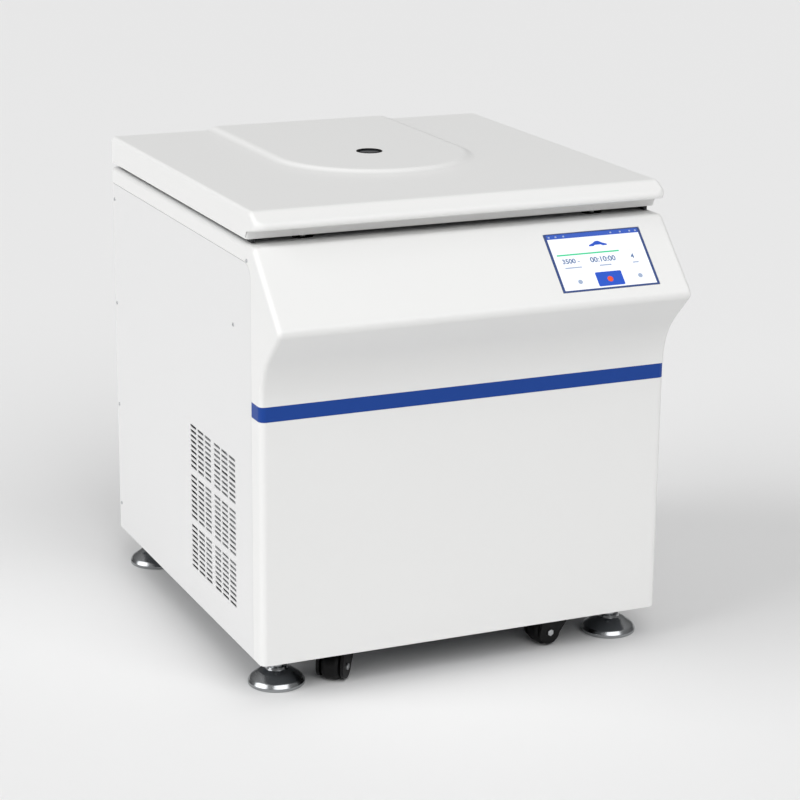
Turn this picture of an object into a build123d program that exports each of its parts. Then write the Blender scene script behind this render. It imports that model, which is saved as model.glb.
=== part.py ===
from build123d import *
import os
from math import atan2, cos, degrees, pi, radians, sin, sqrt, tan

# A floor-standing refrigerated laboratory centrifuge with a swing-out rotor, in millimetres.
# +X is to the right, +Y to the back and +Z up. The origin is on the floor, at the middle of the
# object's outline. Each function makes one sub-part, and the list at the end writes them all.

# ---------------------------------------------------------------- cabinet: driving sizes
SIDE_SPACE = 82.0            # guard ring to the cabinet's side
REAR_SPACE = 50.0            # guard ring to the cabinet's rear face
FLOOR_GAP = 63.0             # cabinet's lower edge above the floor
DECK_HEIGHT = 709.0          # deck above the cabinet's lower edge
PANEL_WALL = 1.5             # sheet steel of the side and rear panels
COVER_WALL = 3.0             # moulded top cover and lower front
CORNER_RADIUS = 12.0         # upright front corners
END_RADIUS = 9.0             # rounding between the cover's ends and its faces
NOSE_REACH = 84.0            # rounded nose in front of the lower front face
NOSE_DROP = 117.0            # nose edge below the deck
NOSE_RADIUS = 12.0
DECK_EDGE_RADIUS = 14.0
HOLLOW_RADIUS = 120.0        # concave sweep below the nose
RETURN_DEPTH = 39.5          # front mouldings wrap this far round the sides
FLANGE_DROP = 29.0           # top cover's side flange below the deck
FLANGE_CORNER = 26.0         # rounded inner corner where the flange meets the return
STRIPE_DROP = 167.0          # stripe's lower edge below the nose edge
STRIPE_HEIGHT = 26.0
PANEL_GAP = 1.0              # open joint round the side panels
SNUG = 0.3                   # gap between bodies that move past each other
FIT = 0.05                   # radial clearance of a running fit

# ---------------------------------------------------------------- lid
LID_GAP = 9.0
LID_THICKNESS = 48.0
LID_NOSE_BACK = 12.0         # lid's nose behind the lower front face
LID_TOP_BACK = 45.0          # start of the flat top
LID_NOSE_DROP = 18.0         # nose edge below the lid's top
LID_NOSE_THICK = 9.0
LID_LIP_BACK = 58.0          # face of the lower lip
LID_LIP_HEIGHT = 13.0
LID_WALL = 3.0
LID_EDGE_RADIUS = 9.0        # one rounding runs along both ends and the nose
LID_TOP_RADIUS = 26.0        # soft bend between the slope and the flat top
LID_CORNER = 18.0            # nose's front corners, seen from above
LIP_CORNER = 6.0
LID_PLATE = 2.5
TONGUE_WIDTH = 346.0
TONGUE_RISE = 7.0
TONGUE_SLOPE = 16.5          # width of the soft border round the tongue
LINER_GAP = 14.0             # liner's edge inside the bowl's wall
LINER_DROP = 12.0
PORT_RADIUS = 20.0
PORT_WALL = 2.0
GASKET_CLEAR = 8.0           # gasket to the strut slots, lock openings and rear edge
GASKET_WIDTH = 10.0
HINGE_AXIS_BACK = 8.5        # hinge axis behind the rear face
HINGE_BARREL = 8.0
HINGE_PIN = 3.5
HINGE_SPREAD = 230.0
HINGE_LEAF = 3.0
HINGE_LENGTH = 84.0
HINGE_LEAF_HEIGHT = 40.0
LID_OPEN = 75.0

# ---------------------------------------------------------------- gas struts
STRUT_INSET = 40.0           # strut's middle from the cabinet's side
STRUT_TOP_REAR = 87.0        # upper stud ahead of the rear face, lid shut
STRUT_TOP_DROP = 12.0        # upper stud below the deck, lid shut
STRUT_FOOT_REAR = 62.0
STRUT_FOOT_DROP = 239.0      # lower stud below the deck
STRUT_BODY = 9.0
STRUT_ROD = 4.0
STRUT_END = 8.0
STRUT_END_WIDTH = 16.0
STUD_RADIUS = 4.0
STRUT_GLAND = 22.0           # shut strut: from the foot stud to the body's gland end

# ---------------------------------------------------------------- lid lock
LOCK_SPREAD = 267.0
LOCK_BACK = 85.0
STRIKER_RADIUS = 4.5
STRIKER_LENGTH = 50.0
STRIKER_NECK = 2.8
STRIKER_NECK_HEIGHT = 8.0
LOCK_BAR_WIDTH = 30.0
LOCK_BAR_THICK = 3.0
LOCK_TRAVEL = 12.0
BEZEL_LENGTH = 36.0
BEZEL_WIDTH = 24.0

# ---------------------------------------------------------------- chamber and drive
LOCK_SPACE = 56.0            # lid lock's line to the guard ring
BOWL_RADIUS = 250.0
BOWL_WALL = 2.0
BOWL_DEPTH = 262.0
BOWL_CORNER = 40.0
BOWL_FLANGE = 22.0
BOWL_HOLE = 32.0
SEAL_OVERLAP = 8.0
INSULATION = 26.0
FLOOR_FOAM = 14.0
COIL_TUBE = 4.0
COIL_COUNT = 9
COIL_PITCH = 22.0
GUARD_WALL = 6.0
SHAFT_RADIUS = 12.0
MOTOR_RADIUS = 84.0
MOTOR_LENGTH = 215.0
MOTOR_WALL = 8.0
MOTOR_EAR = 122.0
MOUNT_RADIUS = 14.0
MOUNT_HEIGHT = 10.0
BEARING_RADIUS = 26.0
BEARING_WIDTH = 14.0
ARMATURE_RADIUS = 50.0
MOTOR_ROOM = 44.0            # motor platform to the foam under the bowl
PLATFORM_WALL = 4.0

# ---------------------------------------------------------------- swing-out rotor
SWING_ROOM = 10.0            # raised bucket to the bowl's wall
TRUNNION_DROP = 124.0        # trunnion pins below the deck
TRUNNION_PIN = 5.0
TRUNNION_LENGTH = 11.0
BUCKET_RADIUS = 45.0
BUCKET_WALL = 3.0
BUCKET_BELOW = 95.0
BUCKET_ABOVE = 22.0
BUCKET_SIDE = 57.0           # yoke face from a bucket's middle plane
LUG_REACH = 51.0
YOKE_THICK = 24.0
YOKE_MARGIN = 17.0           # yoke's tip past the trunnion pins
HUB_RADIUS = 42.0
KNOB_RADIUS = 24.0
KNOB_HEIGHT = 28.0

# ---------------------------------------------------------------- feet and casters
FOOT_RADIUS = 49.0
FOOT_SIDE_INSET = 54.0
FOOT_FRONT_BACK = 74.0
FOOT_REAR = 51.0             # rear foot ahead of the rear face
FOOT_TRAVEL = 20.0
STEM_RADIUS = 8.0
WHEEL_RADIUS = 25.0
WHEEL_WIDTH = 36.0
WHEEL_LIFT = 1.0             # wheels clear the floor while the feet carry the machine
WHEEL_GAP = 1.2
FORK_WALL = 3.0
CASTER_SPREAD = 208.0
CASTER_BACK = 70.0
CASTER_TRAIL = 26.0
CASTER_AXLE = 4.0
KINGPIN = 5.0
LEFT_CASTER_TURN = 228.0     # direction of the trail, from +X
RIGHT_CASTER_TURN = 190.0
REAR_CASTER = 77.0           # rear axle's fork line ahead of the rear face

# ---------------------------------------------------------------- screen, louvres, back
SCREEN_WIDTH = 183.0
SCREEN_HEIGHT = 116.0
SCREEN_THICK = 3.0
SCREEN_INSET = 147.0         # screen's middle from the right side
SCREEN_DOWN = 79.5           # screen's middle down the console from the deck's edge
DISPLAY_DEPTH = 28.0
SLOT_LENGTH = 32.0
SLOT_HEIGHT = 5.0
REAR_SLOT_HEIGHT = 6.0
SLOT_COLUMNS = 3
SLOT_ROWS = 9
COLUMN_PITCH = 37.5
ROW_PITCH = 9.3
GROUP_PITCH_Y = 122.0
GROUP_PITCH_Z = 92.9
LOUVRE_FRONT = 120.5         # foremost slot end behind the lower front face
LOUVRE_TOP = 328.5
SCREW_RADIUS = 3.2
SCREW_SHANK = 2.0
SCREW_LOW = 52.0             # lowest panel screw above the lower edge
SCREW_HIGH = 30.0            # highest panel screw below the flange's seam
SCREW_COUNT = 4
SCREW_INSET = 12.0
FLANGE_SCREW_BACK = 56.0
FLANGE_SCREW_LIFT = 3.5
PLUG_BACK = 122.6
PLUG_DROP = 147.3
FAN_RADIUS = 108.0
FAN_BLADES = 7
SPIGOT_RADIUS = 6.0
SPIGOT_LENGTH = 16.0
SPIGOT_COLLAR = 2.0
SPIGOT_SIDE = 125.0          # spigot and mains inlet from the cabinet's sides
SPIGOT_HEIGHT = 60.0
POWER_SIDE = 125.0
POWER_HEIGHT = 120.0
COMPRESSOR_RADIUS = 76.0
COMPRESSOR_HEIGHT = 204.0
COMPRESSOR_SIDE = 170.0      # compressor's axis from the left side
COMPRESSOR_REAR = 187.0      # compressor's axis ahead of the rear face
FAN_BACK = 237.0             # fan's axis behind the lower front face
FAN_FRAME = 17.0             # condenser's edge round the fan
FAN_SIDE = 58.0              # fan's plate from the left side
CONDENSER_SIDE = 10.0
CONDENSER_LIFT = 48.0
CONDENSER_ROOM = 42.0        # condenser's top to the motor platform
INVERTER_WIDTH = 210.0
INVERTER_DEPTH = 120.0
INVERTER_HEIGHT = 290.0
INVERTER_SIDE = 55.0
INVERTER_BACK = 90.0
FRAME_TUBE = 25.0
RAIL_GAP = 0.5
DECK_PAD = 4.0               # strips between the top rails and the deck
DECK_PAD_WIDTH = 14.0

# ---------------------------------------------------------------- places worked out from them
INSULATION_OUTER = BOWL_RADIUS + BOWL_WALL + 2 * COIL_TUBE + INSULATION
GUARD_INNER = INSULATION_OUTER + PANEL_GAP
GUARD_OUTER = GUARD_INNER + GUARD_WALL
ROTOR_BACK = LOCK_BACK + LOCK_SPACE + GUARD_OUTER
CABINET_WIDTH = 2 * (GUARD_OUTER + SIDE_SPACE)
CABINET_DEPTH = ROTOR_BACK + GUARD_OUTER + REAR_SPACE
HALF = CABINET_WIDTH / 2
NOSE_HEIGHT = DECK_HEIGHT - NOSE_DROP
NOSE_SHARP = NOSE_REACH + NOSE_RADIUS * (sqrt(2) - 1)
REAR_REACH = HINGE_AXIS_BACK + HINGE_BARREL
FRONT = (NOSE_REACH - CABINET_DEPTH - REAR_REACH) / 2
BACK = FRONT + CABINET_DEPTH
BOTTOM = FLOOR_GAP
DECK = BOTTOM + DECK_HEIGHT
LID_BOTTOM = DECK + LID_GAP
LID_TOP = LID_BOTTOM + LID_THICKNESS
STRIPE_LOW = BOTTOM + NOSE_HEIGHT - STRIPE_DROP
STRIPE_HIGH = STRIPE_LOW + STRIPE_HEIGHT
RETURN = FRONT + RETURN_DEPTH
SEAM = DECK - FLANGE_DROP
UNDER_DECK = DECK - COVER_WALL
ROTOR_Y = FRONT + ROTOR_BACK
BOWL_FLOOR = UNDER_DECK - BOWL_DEPTH
FOAM_LOW = BOWL_FLOOR - BOWL_WALL - FLOOR_FOAM
PLATFORM = FOAM_LOW - MOTOR_ROOM
HINGE_Y = BACK + HINGE_AXIS_BACK
HINGE_Z = DECK + LID_GAP / 2
TRUNNION_Z = DECK - TRUNNION_DROP
TRUNNION_REACH = BOWL_RADIUS - SWING_ROOM - BUCKET_BELOW
YOKE_TIP = TRUNNION_REACH + YOKE_MARGIN
LINER_RADIUS = BOWL_RADIUS - LINER_GAP
STRUT_SPREAD = HALF - STRUT_INSET
SCREEN_SIDE = HALF - SCREEN_INSET
RAIL_TOP = UNDER_DECK - DECK_PAD
RAIL_SIDE = HALF - COVER_WALL - RAIL_GAP
RAIL_X = RAIL_SIDE - FRAME_TUBE / 2
FRONT_RAIL_Y = RETURN + RAIL_GAP + FRAME_TUBE / 2
REAR_RAIL_Y = BACK - PANEL_WALL - RAIL_GAP - FRAME_TUBE / 2
PAN_BOTTOM = BOTTOM + 2.0
PAN_WALL = 3.0
PAN_RIM = 22.0
STUD_FACE = STRUT_SPREAD - STRUT_END_WIDTH / 2 - STRUT_END
MOTOR_TOP = PLATFORM + MOUNT_HEIGHT
MOTOR_FLANGE = 8.0
MOTOR_BODY_TOP = MOTOR_TOP + MOTOR_FLANGE
MOTOR_LOW = MOTOR_BODY_TOP - MOTOR_LENGTH
BUCKET_TOP = TRUNNION_Z + BUCKET_ABOVE
BUCKET_LOW = TRUNNION_Z - BUCKET_BELOW
FOOT_X = HALF - FOOT_SIDE_INSET
FOOT_PLACES = {
    "front_left": (-FOOT_X, FRONT + FOOT_FRONT_BACK),
    "front_right": (FOOT_X, FRONT + FOOT_FRONT_BACK),
    "rear_left": (-FOOT_X, BACK - FOOT_REAR),
    "rear_right": (FOOT_X, BACK - FOOT_REAR),
}
STRUT_TOP = (BACK - STRUT_TOP_REAR, DECK - STRUT_TOP_DROP)
STRUT_FOOT = (BACK - STRUT_FOOT_REAR, DECK - STRUT_FOOT_DROP)
LOCK_BAR_Z = LID_BOTTOM - STRIKER_LENGTH + 12.0
PIPE_DROP = GUARD_OUTER + 10.0
PIPE_ANGLES = (80, 100)
COIL_RADIUS = BOWL_RADIUS + BOWL_WALL + COIL_TUBE
COIL_LOW = BOWL_FLOOR + BOWL_CORNER
WHEEL_Z = WHEEL_LIFT + WHEEL_RADIUS
COMPRESSOR_PLACE = (COMPRESSOR_SIDE - HALF, BACK - COMPRESSOR_REAR)
CONDENSER_FRONT = FAN_BACK - FAN_RADIUS - FAN_FRAME
CONDENSER_REAR = FAN_BACK + FAN_RADIUS + FAN_FRAME
CONDENSER_TOP = PLATFORM - PLATFORM_WALL - CONDENSER_ROOM
SCREW_STEP = (SEAM - SCREW_HIGH - BOTTOM - SCREW_LOW) / (SCREW_COUNT - 1)
SCREW_LEVELS = [BOTTOM + SCREW_LOW + i * SCREW_STEP for i in range(SCREW_COUNT)]


# ---------------------------------------------------------------- small helpers
def block(low, high):
    """A box between two opposite corners."""
    size = [high[i] - low[i] for i in range(3)]
    middle = [(high[i] + low[i]) / 2 for i in range(3)]
    return Pos(*middle) * Box(*size)


def rod(radius, start, end):
    """A round bar from one point to another."""
    line = Vector(*end) - Vector(*start)
    plane = Plane(origin=start, z_dir=line)
    return extrude(plane * Circle(radius), line.length)


def tube(outer, inner, start, end):
    """A round pipe from one point to another."""
    return rod(outer, start, end) - rod(inner, start, end)


def ring(outer, inner, low, high, x=0.0, y=ROTOR_Y):
    """A flat-ended ring standing on the spin axis unless told otherwise."""
    return tube(outer, inner, (x, y, low), (x, y, high))


def prism_x(points, low, high):
    """A straight-sided outline in Y and Z, pushed along X."""
    face = make_face(Polyline(*points, close=True))
    return Pos(low, 0, 0) * extrude(Plane.YZ * face, high - low)


def spun(points, x=0.0, y=ROTOR_Y):
    """A turned part from its radius and height outline."""
    face = make_face(Polyline(*points, close=True))
    return Pos(x, y, 0) * revolve(Plane.XZ * face, Axis.Z)


def polar(radius, angle):
    """X and Y of a place at a distance and an angle from the spin axis."""
    return radius * cos(radians(angle)), ROTOR_Y + radius * sin(radians(angle))


def both_sides(part):
    """A right-hand piece and its left-hand twin."""
    return [part, part.mirror(Plane.YZ)]


# ---------------------------------------------------------------- top cover and front
def cover_outline(inset):
    """Side outline of the top cover's outer skin, moved inwards by a distance."""
    console = BOTTOM + NOSE_HEIGHT + NOSE_SHARP - FRONT
    undercut = BOTTOM + NOSE_HEIGHT - NOSE_SHARP + FRONT
    hollow_y = FRONT - HOLLOW_RADIUS
    hollow_z = undercut - hollow_y - HOLLOW_RADIUS * sqrt(2)
    radius = HOLLOW_RADIUS + inset
    slope = console - inset * sqrt(2)
    under = undercut + inset * sqrt(2)
    edge = (DECK - inset - slope, DECK - inset)
    nose = ((under - slope) / 2, (under + slope) / 2)
    bend = [(hollow_y + radius * cos(a), hollow_z + radius * sin(a)) for a in (pi / 4, pi / 8, 0)]
    return edge, nose, bend


def cover_solid(inset, low, rear):
    """The cover's outer form, or the hollow inside it, with its edges rounded."""
    edge, nose, bend = cover_outline(inset)
    if inset == 0:
        middle = FLANGE_CORNER * (1 - cos(pi / 4))
        tail = Polyline(bend[2], (FRONT, low), (RETURN, low), (RETURN, SEAM - FLANGE_CORNER))
        corner = ThreePointArc(
            (RETURN, SEAM - FLANGE_CORNER),
            (RETURN + middle, SEAM - middle),
            (RETURN + FLANGE_CORNER, SEAM),
        )
        top = Polyline((RETURN + FLANGE_CORNER, SEAM), (rear, SEAM), (rear, DECK), edge, nose, bend[0])
        lines = [tail, corner, top]
    else:
        low_front = (bend[2][0], low)
        lines = [Polyline(bend[2], low_front, (rear, low), (rear, DECK - inset), edge, nose, bend[0])]
    face = make_face(lines + [ThreePointArc(bend[0], bend[1], bend[2])])
    width = CABINET_WIDTH - 2 * inset
    face = round_corner(face, nose, NOSE_RADIUS - inset)
    face = round_corner(face, edge, DECK_EDGE_RADIUS - inset)
    solid = extrude(Plane.YZ * face, width / 2, both=True)
    skin = [e for e in solid.edges() if is_end_edge(e, width / 2, low, rear)]
    return fillet(skin, END_RADIUS - inset)


def round_corner(face, place, radius):
    """Round the corner of a flat outline that lies nearest to a place."""
    corner = min(face.vertices(), key=lambda v: (v.X - place[0]) ** 2 + (v.Y - place[1]) ** 2)
    return fillet(corner, radius)


def is_end_edge(edge, side, low, rear):
    """True for the outer edges at the cover's two ends, from the deck round to the lower front."""
    middle = edge @ 0.5
    at_end = abs(abs(middle.X) - side) < 0.01 and abs(edge.tangent_at(0.5).X) < 0.01
    inside = middle.Y > RETURN - 1 and middle.Z < UNDER_DECK - COVER_WALL
    return at_end and not inside and middle.Z > low + 0.01 and middle.Y < rear - 0.01


def console_plane(lift=0.0):
    """Plane on the console at the screen's middle, X across and Y up the slope."""
    edge, nose, bend = cover_outline(0)
    step = SCREEN_DOWN / sqrt(2)
    origin = (SCREEN_SIDE, edge[0] - step - lift / sqrt(2), edge[1] - step + lift / sqrt(2))
    return Plane(origin=origin, x_dir=(1, 0, 0), z_dir=(0, -1, 1))


def top_cover():
    outer = cover_solid(0, STRIPE_HIGH, BACK)
    inner = cover_solid(COVER_WALL, STRIPE_HIGH - 40, BACK + 40)
    body = outer - inner
    body -= rod(BOWL_RADIUS + SEAL_OVERLAP, (0, ROTOR_Y, UNDER_DECK - 5), (0, ROTOR_Y, DECK + 5))
    window = Box(SCREEN_WIDTH + 2 * SNUG, SCREEN_HEIGHT + 2 * SNUG, 6 * COVER_WALL)
    body -= console_plane() * window
    for side in (-1, 1):
        hole = SlotOverall(BEZEL_LENGTH - 4, BEZEL_WIDTH - 4)
        body -= Pos(side * LOCK_SPREAD, FRONT + LOCK_BACK, UNDER_DECK - 2) * extrude(hole, 4 * COVER_WALL)
        body -= strut_slot(side)
        body -= side_screw_holes(side)
    return body


def strut_slot(side):
    """Opening in the deck that a strut and its lid bracket pass through."""
    inner = STUD_FACE - 2 * LID_WALL
    outer = STRUT_SPREAD + STRUT_END_WIDTH / 2 + 3
    xs = sorted((side * inner, side * outer))
    front = STRUT_TOP[0] - 3.5 * STRUT_END
    rear = REAR_RAIL_Y - FRAME_TUBE / 2
    return block((xs[0], front, UNDER_DECK - 5), (xs[1], rear, DECK + 5))


def wrap_section(inset, rear):
    """Plan of the front mouldings below the cover: a U with rounded front corners."""
    width = CABINET_WIDTH - 2 * inset
    depth = rear - FRONT - inset
    shape = Pos(0, FRONT + inset + depth / 2) * Rectangle(width, depth)
    front = shape.vertices().sort_by(Axis.Y)[:2]
    return fillet(front, CORNER_RADIUS - inset)


def wrapped_front(low, high, wall):
    outer = extrude(wrap_section(0, RETURN), high - low)
    inner = extrude(wrap_section(wall, RETURN + 20), high - low)
    return Pos(0, 0, low) * (outer - inner)


def front_panel():
    return wrapped_front(BOTTOM, STRIPE_LOW, COVER_WALL)


def front_stripe():
    return wrapped_front(STRIPE_LOW, STRIPE_HIGH, COVER_WALL)


# ---------------------------------------------------------------- side and rear panels
def louvre_slots(side):
    """Three by nine round-ended slots in two by three groups."""
    slots = []
    slot = Plane.YZ * SlotOverall(SLOT_LENGTH, SLOT_HEIGHT)
    slot = extrude(slot, 2 * PANEL_WALL, both=True)
    x = side * (HALF - PANEL_WALL / 2)
    first_y = FRONT + LOUVRE_FRONT + SLOT_LENGTH / 2
    first_z = BOTTOM + LOUVRE_TOP - SLOT_HEIGHT / 2
    for group_y in range(2):
        for group_z in range(3):
            for column in range(SLOT_COLUMNS):
                for row in range(SLOT_ROWS):
                    y = first_y + group_y * GROUP_PITCH_Y + column * COLUMN_PITCH
                    z = first_z - group_z * GROUP_PITCH_Z - row * ROW_PITCH
                    slots.append(Pos(x, y, z) * slot)
    return slots


def side_panel(side):
    front = RETURN + PANEL_GAP
    top = SEAM - PANEL_GAP
    low = BOTTOM
    bend = FLANGE_CORNER * (1 - cos(pi / 4))
    start, end = (front, top - FLANGE_CORNER), (front + FLANGE_CORNER, top)
    arc = ThreePointArc(start, (front + bend, top - bend), end)
    edge = Polyline(end, (BACK, top), (BACK, low), (front, low), start)
    sheet = extrude(Plane.YZ * make_face([arc, edge]), PANEL_WALL)
    start = -HALF if side < 0 else HALF - PANEL_WALL
    sheet = Pos(start, 0, 0) * sheet
    return sheet - louvre_slots(side) - side_screw_holes(side)


def screw_places(side):
    """Outer-face place and shank length of each screw on one side."""
    to_plate = HALF - RAIL_SIDE + PAN_WALL
    places = [(BACK - SCREW_INSET, z, to_plate) for z in SCREW_LEVELS]
    places.append((FRONT + PLUG_BACK, DECK - PLUG_DROP, PANEL_WALL))
    places.append((FRONT + FLANGE_SCREW_BACK, SEAM + FLANGE_SCREW_LIFT, HALF - RAIL_SIDE))
    return [((side * HALF, y, z), length) for y, z, length in places]


def side_screw_holes(side):
    """Clearance holes through the sheet on one side."""
    holes = []
    for (x, y, z), length in screw_places(side):
        holes.append(rod(SCREW_SHANK + FIT, (x + side, y, z), (x - side * 2 * COVER_WALL, y, z)))
    return holes


def panel_screws():
    """Pan-head screws of the side panels and of the cover's side flanges."""
    screws = []
    for side in (-1, 1):
        for (x, y, z), length in screw_places(side):
            head = rod(SCREW_RADIUS, (x, y, z), (x + side * 1.4, y, z))
            outer = head.edges().filter_by(GeomType.CIRCLE).sort_by(Axis.X)[-1 if side > 0 else 0]
            shank = rod(SCREW_SHANK, (x, y, z), (x - side * length, y, z))
            screws.append(fillet(outer, 0.9) + shank)
    return screws


def rear_panel():
    half = HALF - PANEL_WALL
    sheet = block((-half, BACK - PANEL_WALL, BOTTOM), (half, BACK, SEAM - PANEL_GAP))
    inside = HALF - COVER_WALL
    corner = END_RADIUS - COVER_WALL
    tall = block((-inside, BACK - PANEL_WALL, SEAM - 2 * PANEL_GAP), (inside, BACK, UNDER_DECK))
    sheet += chamfer(tall.edges().filter_by(Axis.Y).group_by(Axis.Z)[-1], corner)
    cuts = []
    for column in range(5):
        for row in range(12):
            x = -180 + column * 90
            z = BOTTOM + 330 + row * 2 * ROW_PITCH
            cuts.append(Pos(x, BACK, z) * Box(70, 4 * PANEL_WALL, REAR_SLOT_HEIGHT))
    cuts.append(power_opening())
    spigot_x, spigot_z = spigot_place()
    cuts.append(rod(SPIGOT_RADIUS, (spigot_x, BACK - 5, spigot_z), (spigot_x, BACK + 5, spigot_z)))
    return sheet - cuts


# ---------------------------------------------------------------- frame and base
def base_pan():
    half = RAIL_SIDE
    front = FRONT + COVER_WALL + RAIL_GAP
    rear = BACK - PANEL_WALL - RAIL_GAP
    pan = block((-half, front, PAN_BOTTOM), (half, rear, PAN_BOTTOM + PAN_RIM))
    corners = pan.edges().filter_by(Axis.Z).group_by(Axis.Y)[0]
    pan = fillet(corners, CORNER_RADIUS - COVER_WALL - RAIL_GAP)
    hollow = block(
        (-half + PAN_WALL, front + PAN_WALL, PAN_BOTTOM + PAN_WALL),
        (half - PAN_WALL, rear - PAN_WALL, PAN_BOTTOM + PAN_RIM + 1),
    )
    pan -= hollow
    for x, y in FOOT_PLACES.values():
        pan += rod(STEM_RADIUS + 6, (x, y, PAN_BOTTOM), (x, y, PAN_BOTTOM + PAN_RIM))
        pan -= rod(STEM_RADIUS + FIT, (x, y, PAN_BOTTOM - 1), (x, y, PAN_BOTTOM + PAN_RIM + 1))
    for side in (-1, 1):
        x, y = side * CASTER_SPREAD, FRONT + CASTER_BACK
        pan -= rod(KINGPIN + 1.0, (x, y, PAN_BOTTOM - 1), (x, y, PAN_BOTTOM + PAN_WALL + 1))
    return pan


def welded_frame():
    """Posts, rails, deck strips, panel nut plates, motor platform and strut brackets."""
    half = FRAME_TUBE / 2
    rail_z = RAIL_TOP - half
    side_z = PLATFORM - PLATFORM_WALL - half
    front, rear = FRONT_RAIL_Y + PAN_WALL, REAR_RAIL_Y - PAN_WALL
    parts = [platform_plate()]
    for y in (FRONT_RAIL_Y, REAR_RAIL_Y):
        parts.append(square_tube((-RAIL_SIDE, y, rail_z), (RAIL_SIDE, y, rail_z)))
        parts.append(deck_strip((-RAIL_X, y), (RAIL_X, y)))
    for side in (-1, 1):
        x = side * RAIL_X
        post = side * (RAIL_X - PAN_WALL)
        for y in (front, rear):
            parts.append(square_tube((post, y, PAN_BOTTOM + PAN_WALL), (post, y, rail_z - half)))
        parts.append(square_tube((x, FRONT_RAIL_Y + half, rail_z), (x, REAR_RAIL_Y - half, rail_z)))
        parts.append(deck_strip((x, FRONT_RAIL_Y + half), (x, REAR_RAIL_Y - half)))
        parts.append(square_tube((post, front + half, side_z), (post, rear - half, side_z)))
        parts += [nut_plate(side, z) for z in SCREW_LEVELS]
    return parts + both_sides(strut_bracket())


def deck_strip(start, end):
    """Flat strip along the top of a rail, that the deck lies on."""
    half = DECK_PAD_WIDTH / 2
    across = (half, 0) if start[0] == end[0] else (0, half)
    low = (start[0] - across[0], start[1] - across[1], RAIL_TOP)
    return block(low, (end[0] + across[0], end[1] + across[1], UNDER_DECK))


def nut_plate(side, z):
    """Threaded plate on a rear post, for one side-panel screw."""
    post = RAIL_SIDE - PAN_WALL
    y = BACK - SCREW_INSET
    xs = sorted((side * post, side * (HALF - PANEL_WALL)))
    plate = block((xs[0], y - 8, z - 8), (xs[1], y + 8, z + 8))
    return plate - rod(SCREW_SHANK, (xs[0] - 1, y, z), (xs[1] + 1, y, z))


def square_tube(start, end):
    """A hollow square frame tube."""
    line = Vector(*end) - Vector(*start)
    plane = Plane(origin=start, x_dir=(0, 0, 1) if abs(line.Z) < 1 else (1, 0, 0), z_dir=line)
    outer = Rectangle(FRAME_TUBE, FRAME_TUBE)
    inner = Rectangle(FRAME_TUBE - 4, FRAME_TUBE - 4)
    return extrude(plane * (outer - inner), line.length)


def platform_plate():
    reach = RAIL_SIDE - PAN_WALL
    front = ROTOR_Y - GUARD_OUTER - 15
    rear = min(ROTOR_Y + GUARD_OUTER + 15, REAR_RAIL_Y - PAN_WALL - FRAME_TUBE / 2)
    plate = block((-reach, front, PLATFORM - PLATFORM_WALL), (reach, rear, PLATFORM))
    plate -= rod(MOTOR_RADIUS + 8, (0, ROTOR_Y, PLATFORM - 10), (0, ROTOR_Y, PLATFORM + 1))
    for angle in PIPE_ANGLES:
        x, y = polar(PIPE_DROP, angle)
        plate -= rod(COIL_TUBE + 2, (x, y, PLATFORM - 10), (x, y, PLATFORM + 1))
    return plate


def strut_bracket():
    """Upright plate on the platform rail with the strut's lower stud."""
    y, z = STRUT_FOOT
    wall = STUD_FACE - LID_WALL
    low = PLATFORM
    plate = block((wall, y - 16, low), (STUD_FACE, y + 16, z))
    plate += rod(16, (wall, y, z), (STUD_FACE, y, z))
    foot = block((wall, y - 16, low), (STRUT_SPREAD + 10, y + 16, low + LID_WALL))
    stud = rod(STUD_RADIUS, (STUD_FACE, y, z), (STRUT_SPREAD + STRUT_END_WIDTH / 2 + 3, y, z))
    return plate + foot + stud


# ---------------------------------------------------------------- chamber
def chamber_bowl():
    """Deep-drawn bowl: flange, wall, rounded bottom and the shaft hole."""
    top = UNDER_DECK
    r = BOWL_RADIUS
    face = Polyline(
        (BOWL_HOLE, BOWL_FLOOR), (r, BOWL_FLOOR), (r, top), (r + BOWL_FLANGE, top),
        (r + BOWL_FLANGE, top - BOWL_WALL), (r + BOWL_WALL, top - BOWL_WALL),
        (r + BOWL_WALL, BOWL_FLOOR - BOWL_WALL), (BOWL_HOLE, BOWL_FLOOR - BOWL_WALL), close=True,
    )
    sketch = make_face(face)
    sketch = round_corner(sketch, (r, BOWL_FLOOR), BOWL_CORNER)
    sketch = round_corner(sketch, (r + BOWL_WALL, BOWL_FLOOR - BOWL_WALL), BOWL_CORNER + BOWL_WALL)
    return Pos(0, ROTOR_Y, 0) * revolve(Plane.XZ * sketch, Axis.Z)


def chamber_seal():
    """Rubber ring that sits on the edge of the deck's round opening."""
    hole = BOWL_RADIUS + SEAL_OVERLAP
    top = LID_BOTTOM - SNUG
    return spun([
        (BOWL_RADIUS, UNDER_DECK), (hole, UNDER_DECK), (hole, DECK), (hole + SEAL_OVERLAP, DECK),
        (hole + SEAL_OVERLAP, DECK + 3), (hole + 1, top), (hole - 4, top), (BOWL_RADIUS, DECK + 2),
    ])


def cooling_coil():
    """Evaporator hoops round the bowl, joined by two upright headers with outlets to the rear."""
    high = COIL_LOW + (COIL_COUNT - 1) * COIL_PITCH
    tube_radius = COIL_TUBE - SNUG
    coil = Part()
    for i in range(COIL_COUNT):
        flattened = Pos(COIL_RADIUS, COIL_LOW + i * COIL_PITCH) * RegularPolygon(tube_radius, 8)
        coil += Pos(0, ROTOR_Y, 0) * revolve(Plane.XZ * flattened, Axis.Z)
    for angle in PIPE_ANGLES:
        x, y = polar(COIL_RADIUS, angle)
        coil += rod(tube_radius - 0.7, (x, y, COIL_LOW), (x, y, high))
        coil += rod(tube_radius - 0.4, (x, y, high), (*polar(COIL_RADIUS + 2 * COIL_TUBE, angle), high))
    return coil


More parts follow.
